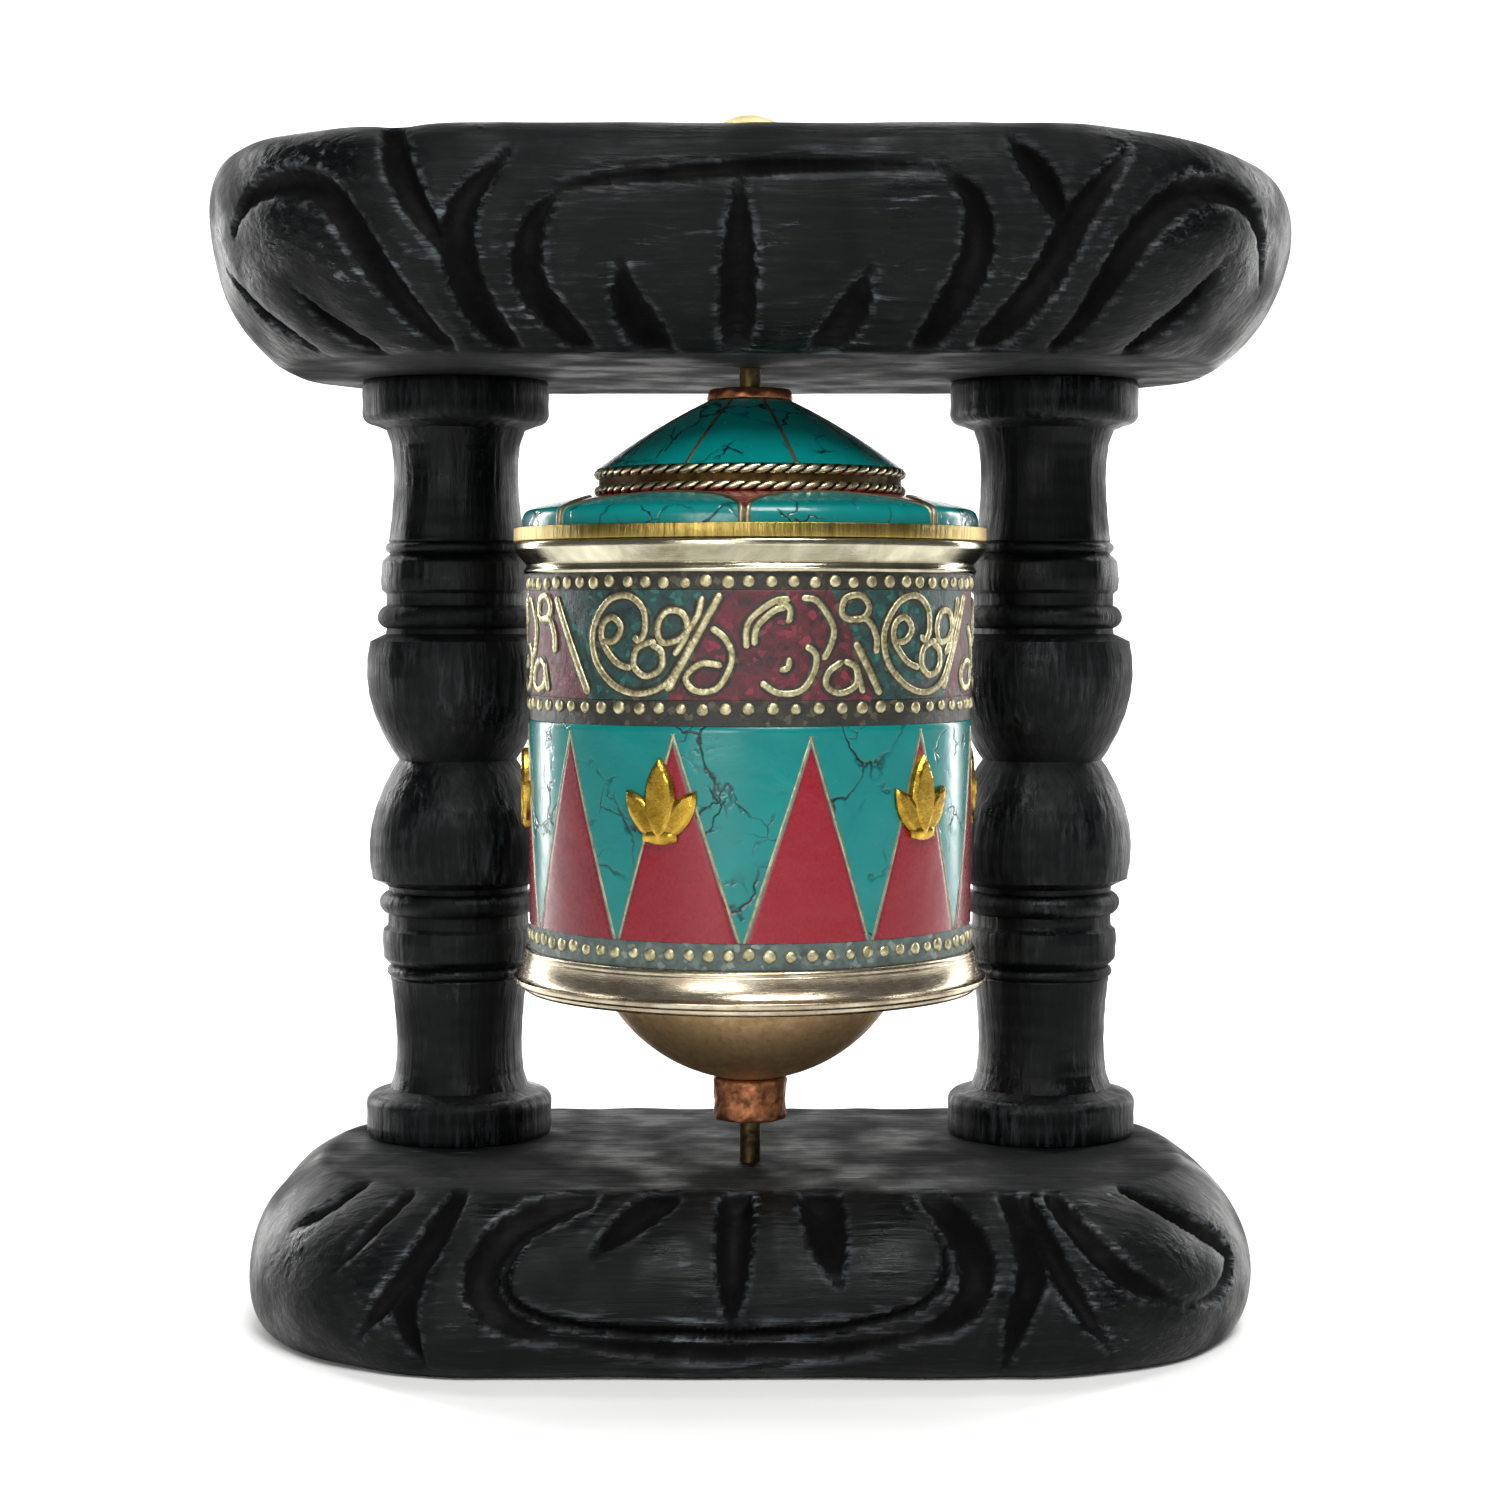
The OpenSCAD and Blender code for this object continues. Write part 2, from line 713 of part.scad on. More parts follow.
// Spun metal flange: it spreads down to a double lip, and the bowl closes it below
module bottom_flange() {
    color("#b9a36c") on_axis() rotate_extrude() polygon(concat(
        [[shell_inner_r - 0.8, base_strip_z], [drum_r + 0.5, base_strip_z],
         [drum_r + 0.7, base_strip_z - 0.7]],
        [for (i = [0:5]) let (t = 18 * i)
            [drum_r + 0.8 + 1.6 * (1 - cos(t)), flange_z + 2.1 + 3.4 * (1 - sin(t))]],
        [[low_rim_r, flange_z + 1.3], [drum_r + 0.6, flange_z + 0.9], [drum_r + 0.2, flange_z],
         [bowl_top_r - 0.4, flange_z], [bowl_top_r - 0.4, flange_z + 1.2],
         [shell_inner_r - 0.8, flange_z + 2.4]]));
}

// Outline of the bowl at a distance "deep" inside its outer face, from its mouth to its hole
bowl_centre_z = bowl_z + ball_drop(bowl_r, hub_bore_r);
function bowl_line(deep) =
    let (r = bowl_r - deep, a = asin(bowl_top_r / bowl_r), b = asin(hub_bore_r / r))
    [for (i = [0:10]) let (t = a + (b - a) * i / 10)
        [r * sin(t), min(flange_z, bowl_centre_z - r * cos(t))]];

module bottom_bowl() {
    color("#8a7448") on_axis() rotate_extrude() polygon(concat(bowl_line(0), reversed(bowl_line(1))));
}

// Copper bush: it grips the core tube, and its lower pocket clears the thrust collar
module bottom_bush() {
    color("#a8623c") on_axis() difference() {
        union() {
            translate([0, 0, bush_z]) cylinder(h = bush_h, r = hub_r);
            translate([0, 0, bush_z]) cylinder(h = bush_h + 2.5, r = hub_bore_r);
        }
        translate([0, 0, bush_z - cut]) cylinder(h = bush_h + 2 * cut + 3, r = core_r);
        translate([0, 0, bush_z - cut]) cylinder(h = core_z - bush_z + cut, r = collar_pocket_r);
    }
}

base_board();
top_board();
left_pillar();
right_pillar();
lower_screws();
upper_screws();
spindle();
cap_washer();
cap_nut();
foot_washer();
foot_nut();
thrust_collar();
core_tube();
drum_shell();
drum_floor();
prayer_roll();
top_flange();
edge_band();
shoulder_plate();
shoulder_coral();
shoulder_turquoise();
shoulder_wires();
rope_band();
upper_rope();
lower_rope();
cone_shell();
cone_turquoise();
cone_wires();
top_bush();
upper_dot_strip();
upper_dots();
scroll_teal();
scroll_coral();
field_wires();
scroll_wires();
lower_dot_strip();
lower_dots();
triangle_turquoise();
triangle_coral();
triangle_wires();
lotus_ornaments();
base_dot_strip();
base_dots();
bottom_flange();
bottom_bowl();
bottom_bush();
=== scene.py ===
import math
import bmesh
import bpy
import numpy as np
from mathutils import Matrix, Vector


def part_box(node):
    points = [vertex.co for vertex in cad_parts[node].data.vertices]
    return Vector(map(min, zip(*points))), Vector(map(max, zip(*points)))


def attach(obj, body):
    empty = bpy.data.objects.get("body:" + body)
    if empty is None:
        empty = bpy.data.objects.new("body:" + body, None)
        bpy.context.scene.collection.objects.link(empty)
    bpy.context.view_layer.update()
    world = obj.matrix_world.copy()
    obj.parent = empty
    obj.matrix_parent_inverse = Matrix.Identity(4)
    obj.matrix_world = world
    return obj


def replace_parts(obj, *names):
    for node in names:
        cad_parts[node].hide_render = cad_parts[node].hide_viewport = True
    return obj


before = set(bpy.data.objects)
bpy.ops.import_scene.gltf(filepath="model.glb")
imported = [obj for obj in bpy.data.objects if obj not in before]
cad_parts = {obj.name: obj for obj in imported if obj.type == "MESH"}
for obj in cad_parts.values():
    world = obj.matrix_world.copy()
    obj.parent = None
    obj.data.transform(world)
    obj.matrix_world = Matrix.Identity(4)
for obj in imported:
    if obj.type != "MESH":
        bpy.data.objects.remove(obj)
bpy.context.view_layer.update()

# ---- studio: camera, lights and floor ----
# The wheel stands on a pale paper sweep in a small studio: one large soft light above the
# front, a weak one to fill from the front, two narrow tall ones behind the sides, and one on the
# paper behind. The camera is level with the drum and close, about 45 cm away.
lens_data = bpy.data.cameras.new("Camera")
lens_data.lens = 68.1
lens_data.sensor_width = 36
lens_data.clip_start = 0.01
camera = bpy.data.objects.new("Camera", lens_data)
camera.location = (0, -0.444, 0.10984)
camera.rotation_euler = (math.radians(90 - 2.8), 0, 0)
bpy.context.scene.collection.objects.link(camera)
bpy.context.scene.camera = camera
bpy.context.scene.view_settings.view_transform = "Standard"


def srgb(colour):
    """Linear colour of a #rrggbb value: each channel goes through the sRGB curve."""
    c = np.array([int(colour[i:i + 2], 16) / 255 for i in (1, 3, 5)])
    linear = np.where(c <= 0.04045, c / 12.92, ((c + 0.055) / 1.055) ** 2.4)
    return (*linear, 1.0)


def add(tree, kind, sockets=None, out=0, **settings):
    """Adds a shader node of that kind. Each socket's value is a number or colour, or another node's
    output, which is linked to it. Returns the node's output with that place or name."""
    node = tree.nodes.new("ShaderNode" + kind)
    for name, value in settings.items():
        setattr(node, name, value)
    for name, value in (sockets or {}).items():
        if isinstance(value, bpy.types.NodeSocket):
            tree.links.new(value, node.inputs[name])
        else:
            node.inputs[name].default_value = value
    return node.outputs[out] if node.outputs else None


def finish(name, **sockets):
    """A new material with one Principled shader, whose sockets get the given values. Returns
    the material, its node tree, its shader and the Object coordinates."""
    mat = bpy.data.materials.new(name)
    mat.use_nodes = True
    tree = mat.node_tree
    tree.nodes.clear()
    values = {key.replace("_", " "): value for key, value in sockets.items()}
    shader = add(tree, "BsdfPrincipled", values).node
    add(tree, "OutputMaterial", {"Surface": shader.outputs[0]})
    return mat, tree, shader, add(tree, "TexCoord", out="Object")


def join(shader, **sockets):
    """Links an output to each of the shader's sockets."""
    for key, output in sockets.items():
        shader.id_data.links.new(output, shader.inputs[key.replace("_", " ")])


def tint(tree, value, span, under, over, most=1.0):
    """Goes from the colour under to the colour over as a value crosses a span: its share of the
    span, times most, is the share of over. Each colour is #rrggbb or an output."""
    share = add(tree, "MapRange", {"Value": value, "From Min": span[0], "From Max": span[1],
                                   "To Max": most})
    under, over = (srgb(colour) if isinstance(colour, str) else colour for colour in (under, over))
    return add(tree, "Mix", {0: share, 6: under, 7: over}, out=2, data_type="RGBA")


def softbox(name, place, aim, size, power):
    """A rectangular lamp at one point that faces another."""
    lamp = bpy.data.lights.new(name, "AREA")
    lamp.shape, lamp.size, lamp.size_y, lamp.energy = "RECTANGLE", *size, power
    box = bpy.data.objects.new(name, lamp)
    box.location = place
    box.rotation_euler = (Vector(aim) - Vector(place)).to_track_quat("-Z", "Y").to_euler()
    bpy.context.scene.collection.objects.link(box)


softbox("Key", (0.2, -0.7, 0.9), (0, 0, 0.1), (0.5, 0.35), 11)
softbox("Left_strip", (-0.75, 0.62, 0.3), (0, 0, 0.1), (0.07, 0.7), 6)
softbox("Right_strip", (0.75, 0.6, 0.3), (0, 0, 0.1), (0.06, 0.7), 4.5)
softbox("Front_fill", (-0.35, -1.1, 0.3), (0, 0, 0.1), (0.5, 0.35), 4)
softbox("Paper_light", (0, 0.55, 1.1), (0, 1.3, 0.2), (1.6, 0.5), 30)

world = bpy.data.worlds.new("Studio")
world.use_nodes = True
world.node_tree.nodes["Background"].inputs["Color"].default_value = srgb("#e9ebee")
world.node_tree.nodes["Background"].inputs["Strength"].default_value = 0.18
bpy.context.scene.world = world

# Sweep of paper: flat floor, a quarter turn of 0.35 m radius, then upright
turn = np.linspace(0, math.pi / 2, 24)
sweep = np.concatenate([[[-2.5, 0]], np.column_stack([1.15 + 0.35 * np.sin(turn),
                                                      0.35 - 0.35 * np.cos(turn)]), [[1.5, 2.2]]])
across = np.array([-3.0, 3.0])
paper_points = np.stack([np.broadcast_to(across[None, :], (len(sweep), 2)),
                         np.broadcast_to(sweep[:, :1], (len(sweep), 2)),
                         np.broadcast_to(sweep[:, 1:], (len(sweep), 2))], axis=-1).reshape(-1, 3)
row = 2 * np.arange(len(sweep) - 1)[:, None]
floor_mesh = bpy.data.meshes.new("Floor")
floor_mesh.from_pydata(paper_points.tolist(), [], (row + [0, 1, 3, 2]).tolist())
floor_mesh.shade_smooth()
floor = bpy.data.objects.new("Floor", floor_mesh)
bpy.context.scene.collection.objects.link(floor)
# Matt paper: almost white, with a faint fibre
paper_mat, tree, shader, where = finish("Paper_matt", Roughness=0.9)
fibre = add(tree, "TexNoise", {"Vector": where, "Scale": 40.0})
tone = add(tree, "Mix", {0: fibre, 6: srgb("#f1f1ef"), 7: srgb("#f6f6f4")}, out=2, data_type="RGBA")
join(shader, Base_Color=tone)
floor_mesh.materials.append(paper_mat)

# ---- carved boards ----
# Base and top are thick planks of hardwood with round corners, sawn and rasped to a bulging
# edge, carved with gouges into a cushion and scrolls, and stained black. Both long sides carry
# the same carving.
MM = 0.001
BASE_DEPTH, TOP_DEPTH = 92.0, 100.0
CORNER_SHARE = 0.43
SLOPE = 10.8
ROUND_WIDTH, ROUND_HEIGHT = 4.0, 8.5
POCKET_R, POCKET_H, ROD_HOLE_R = 7, 9, 1.75
HEAD_HOLE_R, HEAD_HOLE_H = 4.1, 3
WHEEL_FRONT = 12.0
PILLAR_BACK = 12.4
PILLAR_SIDE = np.mean([v[0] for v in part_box("right_pillar")]) / MM


def box_mm(node):
    """Lower and upper corner of the box about a node, in mm."""
    return (np.array(corner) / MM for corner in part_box(node))


def through(points, steps):
    """Smooth line through points: a Catmull-Rom cubic between each pair, as one array."""
    p = np.asarray(points, float)
    p = np.concatenate([2 * p[:1] - p[1:2], p, 2 * p[-1:] - p[-2:-1]])
    t = np.linspace(0, 1, steps, endpoint=False)[None, :, None]
    a, b, c, d = (p[i:len(p) - 3 + i, None, :] for i in range(4))
    curve = 0.5 * (2 * b + (c - a) * t + (2 * a - 5 * b + 4 * c - d) * t ** 2
                   + (3 * b - a - 3 * c + d) * t ** 3)
    return np.concatenate([curve.reshape(-1, p.shape[1]), p[-2:-1]])


def along(line):
    """Distance from a line's start to each of its points."""
    return np.concatenate([[0], np.cumsum(np.linalg.norm(np.diff(line, axis=0), axis=1))])


def shape(name, grids, sharp=35, fields=None):
    """Object from grids of points in metres. A grid is (points[rows, columns, 3], rows closed?,
    columns closed?, uv[rows, columns, 2] or None). Each cell is a face, shared points are
    merged, and normals are turned outwards. fields maps a name to one number per point."""
    corners, faces, uvs, start = [], [], [], 0
    for points, rows_close, columns_close, uv in grids:
        m, n = points.shape[:2]
        i = np.arange(m if rows_close else m - 1)[:, None]
        j = np.arange(n if columns_close else n - 1)[None, :]
        ring = [(i, j), (i, j + 1), (i + 1, j + 1), (i + 1, j)]
        faces.append(np.stack([start + (a % m) * n + b % n for a, b in ring], -1).reshape(-1, 4))
        if uv is not None:
            pad = ((0, 1), (0, 1), (0, 0))
            wide = np.pad(uv, pad, mode="reflect", reflect_type="odd")
            uvs.append(np.stack([wide[a, b] for a, b in ring], 2).reshape(-1, 2))
        else:
            uvs.append(np.zeros((4 * len(faces[-1]), 2)))
        corners.append(points.reshape(-1, 3))
        start += m * n
    mesh = bpy.data.meshes.new(name)
    mesh.from_pydata(np.concatenate(corners), [], np.concatenate(faces))
    mesh.uv_layers.new(name="UVMap").data.foreach_set("uv", np.concatenate(uvs).ravel())
    for field, values in (fields or {}).items():
        mesh.attributes.new(field, "FLOAT", "POINT").data.foreach_set("value", values.ravel())
    work = bmesh.new()
    work.from_mesh(mesh)
    bmesh.ops.remove_doubles(work, verts=work.verts, dist=2e-6)
    bmesh.ops.recalc_face_normals(work, faces=work.faces)
    work.to_mesh(mesh)
    work.free()
    mesh.shade_smooth()
    mesh.set_sharp_from_angle(angle=math.radians(sharp))
    piece = bpy.data.objects.new(name, mesh)
    bpy.context.scene.collection.objects.link(piece)
    return piece


def solid(name, grids, mat, body, sharp=35, fields=None):
    """A finished piece: a shape with its material, on the body that carries it."""
    piece = shape(name, grids, sharp, fields)
    piece.data.materials.append(mat)
    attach(piece, body)
    return piece


def board_edge(height, rows):
    """Edge line of a board as (inset, height) at even steps: 9 mm of the outer face, a quarter
    of an ellipse, a slope that bulges as a sine over 60 degrees, and 9 mm of the inner face."""
    t = np.radians(np.linspace(90, 0, 30))
    low = np.column_stack([ROUND_WIDTH * (1 - np.cos(t)), ROUND_HEIGHT * (1 - np.sin(t))])
    t = np.radians(np.linspace(0, 60, 60))[1:]
    high = np.column_stack([SLOPE * (1 - np.cos(t)) / 0.5,
                            ROUND_HEIGHT + (height - ROUND_HEIGHT) * np.sin(t) / math.sin(math.pi / 3)])
    line = np.concatenate([[[ROUND_WIDTH + 9, 0]], low, high, [[SLOPE + 9, height]]])
    far = along(line)
    even = np.linspace(0, far[-1], rows)
    line = np.column_stack([np.interp(even, far, line[:, 0]), np.interp(even, far, line[:, 1])])
    for _ in range(2):
        line[1:-1] = 0.25 * line[:-2] + 0.5 * line[1:-1] + 0.25 * line[2:]
    return line, along(line)


def groove_depth(s, w, height_at, strokes, length):
    """Depth of the gouge cuts at a point s mm round the outline and w mm along the edge line:
    for each stroke (width, depth, points), a round-bottomed cut that tapers to both ends, with
    a slightly uneven side, and a soft hollow about it that leaves cushions in between."""
    depth = np.zeros(s.shape)
    for number, (width, deep, points) in enumerate(strokes):
        line = through(points, 12)
        line[:, 1] = height_at(line[:, 1])
        far = along(line)
        taper = np.sin(math.pi * np.clip(far / far[-1], 0.04, 0.96)) ** 0.55
        for opposite in (0, length / 2):
            middle = line[:, 0].mean() + opposite
            gap = (s - middle + length / 2) % length - length / 2
            near = np.abs(gap) < np.ptp(line[:, 0]) / 2 + 3 * width + 4
            column = gap[near] + line[:, 0].mean()
            squared = ((column[:, None] - line[None, :, 0]) ** 2
                       + (w[near][:, None] - line[None, :, 1]) ** 2)
            nearest = squared.argmin(1)
            away = np.sqrt(squared[np.arange(len(nearest)), nearest])
            size = taper[nearest]
            reach = far[nearest] + number
            tool = 1 + 0.06 * np.sin(reach * 1.7) + 0.05 * np.sin(reach * 3.1 + gap[near])
            half = 0.5 * width * size * tool
            cut = deep * size * np.clip(1 - (away / np.maximum(half, 0.05)) ** 2, 0, 1) ** 0.8
            hollow = 0.35 * deep * size * np.exp(-(away / (0.8 * width)) ** 2)
            depth[near] = np.maximum(depth[near], cut + hollow)
    return depth


def carved_board(width, depth, height, low_z, outer_down, strokes, wear_and_glint, droop):
    """Closed board: columns go round the rounded rectangle, from the middle of the front
    towards the right, and rows follow the edge line and close over both faces. Grooves push
    the surface in along its normal, and the outer face droops towards the right end."""
    r = CORNER_SHARE * depth
    a, b, q = width / 2 - r, depth / 2 - r, math.pi * r / 2
    quarter = a + q + b
    s = np.linspace(0, 4 * quarter, 860, endpoint=False)
    half = np.where(s < 2 * quarter, s, 4 * quarter - s)
    fold = np.where(half < quarter, half, 2 * quarter - half)
    turn = np.clip((fold - a) / r, 0, math.pi / 2)
    side = np.where(s < 2 * quarter, 1, -1)
    front = np.where(half < quarter, 1, -1)
    centre = np.stack([side * np.minimum(fold, a), front * (np.maximum(fold - a - q, 0) - b)], -1)
    out = np.stack([side * np.sin(turn), -front * np.cos(turn)], -1)
    line, w = board_edge(height, 78)
    rise = np.gradient(line, axis=0)
    rise /= np.linalg.norm(rise, axis=1)[:, None]
    heights = lambda z: np.interp(z, np.concatenate([[-9], line[4:-4, 1], [height + 9]]),
                                  np.concatenate([[0], w[4:-4], [w[-1]]]))
    grid_s, grid_w = np.meshgrid(s, w)
    inner_end = np.clip((w[-1] - grid_w - 7.2) / 3.2, 0, 1)
    groove = groove_depth(grid_s, grid_w, heights, strokes, 4 * quarter) * inner_end
    hand = (0.16 * np.sin(grid_s / 7.1 + grid_w / 9) + 0.12 * np.sin(grid_s / 3.3 - grid_w / 4.1)
            + 0.1 * np.sin(grid_w / 2.2 + np.sin(grid_s / 11) * 3))
    edge = np.clip(np.minimum(grid_w, w[-1] - grid_w) / 4, 0, 1)
    push = (groove + hand * 0.6 * np.clip((np.minimum(grid_w, w[-1] - grid_w) - 7) / 4, 0, 1)) * edge
    flat = r - line[:, 0, None] - push * rise[:, 1, None]
    level = line[:, 1, None] - push * rise[:, 0, None]
    ring = centre[None] + flat[..., None] * out[None]
    bands = []
    for inset, z in ((line[0, 0], line[0, 1]), (line[-1, 0], line[-1, 1])):
        shrink = np.linspace(1, 0, 6)[1:, None, None]
        disc = centre[None] + shrink * (r - inset) * out[None]
        core = centre[None] * np.stack([np.ones(2), [1, 0]])[:, None, :][1:]
        bands.append((np.concatenate([disc, core]), z))
    (low_disc, low_level), (high_disc, high_level) = bands
    plan = np.concatenate([low_disc[::-1], ring, high_disc])
    tall = np.concatenate([np.full(low_disc.shape[:2], low_level), level,
                           np.full(high_disc.shape[:2], high_level)])
    right_end = np.clip((plan[..., 0] - 0.56 * width / 2) / (0.44 * width / 2), 0, 1) ** 1.4
    tall = tall + droop * right_end * (1 - tall / height) ** 2
    if not outer_down:
        tall = height - tall
    points = np.concatenate([plan, (low_z + tall)[..., None]], -1) * MM
    cut = np.zeros(tall.shape)
    cut[6:-6] = groove
    bend = groove - 0.25 * (np.roll(groove, 2, 0) + np.roll(groove, -2, 0)
                            + np.roll(groove, 2, 1) + np.roll(groove, -2, 1))
    # Pale marks in the lip field: wear on the ridges beside the grooves, and a thin line along the outer
    # face's rim that is worn edge and painted highlight, strongest on the top board's upper rim, where the
    # light falls
    lip = np.zeros(tall.shape)
    lip[6:-6] = 0.45 * np.clip(-bend * 4, 0, 1) + wear_and_glint * np.exp(-((grid_w - 9.3) / 0.6) ** 2)
    face = np.ones(tall.shape)
    face[6:-6] = 1 - np.clip(np.minimum(grid_w - 8, w[-1] - grid_w - 8) / 1.5, 0, 1)
    return [(points, False, True, None)], {"cut": cut, "lip": lip, "face": face}


def wood(name, stretch, glint_share):
    """Black-stained hardwood. stretch is how the grain's noise is scaled along each axis, and the
    last argument how pale the painted glints are. The mesh's fields are cut (mm of groove), lip
    (share of wear and painted highlight) and face (1 on a board's flats)."""
    # Hardwood, carved and stained black under a thin worn varnish: near-black, with grain
    # streaks about 0.9 mm wide, pale flecks painted in as glints of sheen, grooves darker still
    # from painted shade, and a broken sheen that is glossy in some patches and dull in others
    mat, tree, shader, where = finish(name, IOR=1.45, Specular_IOR_Level=0.15)
    grained = add(tree, "Mapping", {"Vector": where, "Scale": stretch})
    grain = add(tree, "TexNoise", {"Vector": grained, "Scale": 1000 / 0.9, "Detail": 6.0,
                                   "Roughness": 0.65, "Distortion": 0.4})
    streak = add(tree, "TexNoise", {"Vector": grained, "Scale": 1000 / 4.5, "Detail": 3.0,
                                    "Distortion": 0.8})
    patch = add(tree, "TexNoise", {"Vector": where, "Scale": 1000 / 11, "Detail": 5.0})
    nick = add(tree, "TexVoronoi", {"Vector": grained, "Scale": 1000 / 1.6})
    tone = add(tree, "Mix", {0: streak, 6: srgb("#020303"), 7: srgb("#07090a")}, out=2, data_type="RGBA")
    tone = tint(tree, grain, (0.55, 0.72), tone, "#121517", 0.55)
    # Painted glints: pale flecks on the grain in some patches, standing in for sparkles of sheen
    glint_patches = add(tree, "MapRange", {"Value": patch, "From Min": 0.5, "From Max": 0.64})
    painted_glint = add(tree, "MapRange", {"Value": grain, "From Min": 0.6, "From Max": 0.68})
    painted_glint = add(tree, "Math", {0: painted_glint, 1: glint_patches}, operation="MULTIPLY")
    lip = add(tree, "Attribute", attribute_name="lip", out="Fac")
    edge = add(tree, "MapRange", {"Value": grain, "From Min": 0.47, "From Max": 0.6})
    wear_and_glint = add(tree, "Math", {0: lip, 1: edge}, operation="MULTIPLY")
    some = add(tree, "MapRange", {"Value": patch, "From Min": 0.42, "From Max": 0.62,
                                  "To Min": 0.25, "To Max": 1.0})
    wear_and_glint = add(tree, "Math", {0: wear_and_glint, 1: some}, operation="MULTIPLY")
    # The painted glints join the wear on the lips here, and the colour pales by both
    wear_and_glint = add(tree, "Math", {0: painted_glint, 1: glint_share, 2: wear_and_glint}, operation="MULTIPLY_ADD",
               use_clamp=True)
    tone = add(tree, "Mix", {0: wear_and_glint, 6: tone, 7: srgb("#6d757b")}, out=2, data_type="RGBA")
    # Painted shade: the colour darkens to near-black with the depth of the groove
    cut = add(tree, "Attribute", attribute_name="cut", out="Fac")
    shade = add(tree, "MapRange", {"Value": cut, "From Min": 0.45, "From Max": 1.1,
                                   "To Max": 0.96})
    tone = add(tree, "Mix", {0: shade, 6: tone, 7: srgb("#010101")}, out=2, data_type="RGBA")
    gloss = add(tree, "MapRange", {"Value": patch, "From Min": 0.36, "From Max": 0.62,
                                   "To Min": 0.66, "To Max": 0.24})
    flat = add(tree, "Attribute", attribute_name="face", out="Fac")
    rough = add(tree, "Math", {0: flat, 1: 0.3, 2: gloss}, operation="MULTIPLY_ADD")
    rough = add(tree, "Math", {0: shade, 1: 0.4, 2: rough}, operation="MULTIPLY_ADD",
                use_clamp=True)
    coarse = add(tree, "Bump", {"Height": streak, "Distance": 0.0006, "Strength": 0.5})
    fine = add(tree, "Bump", {"Height": grain, "Distance": 0.0003, "Strength": 0.6,
                              "Normal": coarse})
    marks = add(tree, "Bump", {"Height": nick, "Distance": 0.0002, "Strength": 0.4,
                               "Normal": fine})
    join(shader, Base_Color=tone, Roughness=rough, Normal=marks)
    return mat


board_wood = wood("Hardwood_carved_black_stain", (0.09, 1.0, 1.0), 0.45)

# Gouge strokes: (width, depth, points). A point is (mm round the outline from the middle of the
# front, mm from the outer face); past the board's thickness it lies on the inner face.
base_strokes = [
    (6.2, 1.9, [(-15, 29), (-24, 25.5), (-33, 22), (-37.5, 17.5), (-38, 13), (-34, 8.5), (-26, 6)]),
    (3.6, 1.2, [(-34, 8.5), (-27, 6.2), (-14, 4.8), (0, 4.2), (12, 4.8), (23, 6.8), (29, 9.5)]),
    (5.4, 1.8, [(22, 6.5), (29, 9.5), (32.2, 14.5), (31.6, 19.5), (28, 24), (22, 28.5)]),
    (1.7, 1.5, [(-26, 26), (-31, 21.5), (-34.6, 16.5), (-33.6, 12), (-28, 9.2), (-18, 7.9), (-6, 7.3),
                (6, 7.5), (16, 8.9), (24, 11.4), (27.6, 15.5), (27, 20.5), (22, 25.5)]),
    (5.4, 2.2, [(-2, 34), (-2, 25), (-2.4, 18), (-2.8, 8.2)]),
    (5.6, 2.1, [(-6, 30), (-12, 25.6), (-17, 22.4), (-22.4, 18.2)]),
    (6.6, 2.1, [(9, 33), (10, 26), (11.2, 20), (12.4, 14.6)]),
    (4.8, 2, [(-42, 29), (-45, 23.5), (-49, 16), (-57, 6)]),
    (4, 1.9, [(-46.5, 20), (-49, 13.5), (-49.6, 9), (-47, 2.6)]),
    (3.4, 1.2, [(-52, 29), (-56, 23), (-62, 15)]),
    (3.2, 1.2, [(-64, 28), (-70, 22), (-76, 18.5)]),
    (5, 2.1, [(36, 28), (39.6, 22), (40.4, 16), (38.4, 10), (36.4, 2.2)]),
    (4, 1.9, [(40, 27), (43.5, 19), (47.5, 11), (52, 4.4)]),
    (4.6, 1.7, [(44, 28), (49, 21), (55.5, 14.5), (64, 10)]),
    (3.6, 1.6, [(57, 28.5), (64, 24.5), (74, 19), (80, 14), (74, 9.5), (66, 9)]),
]
top_strokes = [
    (2.8, 1.3, [(-30, 15), (-27, 10.6), (-21, 8.5), (-10, 7.4), (1.4, 6.5), (16, 6.3), (25, 6.8),
                (30, 9.5)]),
    (4.8, 1.9, [(-26, 9.5), (-29.4, 13.8), (-31, 19), (-29.6, 24.5), (-22.5, 32)]),
    (5, 2, [(26.5, 6.4), (31, 11.6), (31.4, 18.9), (28, 26), (23, 33)]),
    (5.4, 2.1, [(-1.4, 8.7), (-1.6, 20), (-2, 36)]),
    (6, 2.1, [(-17.8, 20), (-16.7, 26), (-11, 34)]),
    (5.6, 2.1, [(16.6, 20.8), (13.9, 26.9), (8.4, 34)]),
    (5.4, 2.2, [(-33.5, 4.6), (-39.6, 12), (-40.4, 19), (-38, 26), (-33, 32.5)]),
    (4.4, 2.2, [(-51, -1), (-48, 8.7), (-44.5, 15), (-41, 20)]),
    (5, 2.1, [(-82, 13), (-76, 8.8), (-68, 7.4), (-61, 9.4), (-56.5, 15), (-53, 21), (-48, 27.5),
              (-42, 32.5)]),
    (3.4, 1.6, [(-70, 22.5), (-65, 27.5), (-56, 32.5)]),
    (2.6, 1.3, [(-88, 18), (-81, 25), (-72, 31)]),
    (4.2, 2, [(36, 2.4), (40.6, 8.7), (44, 15.5)]),
    (5.2, 2.2, [(53, 3.6), (46, 13), (40.6, 23), (31, 33)]),
    (5, 2.1, [(84, 19), (79, 11), (71, 7.4), (62, 9.4), (56, 14.5), (52, 21), (48, 28), (42, 33)]),
    (3.6, 1.7, [(72, 18.5), (67, 25), (58, 33)]),
]


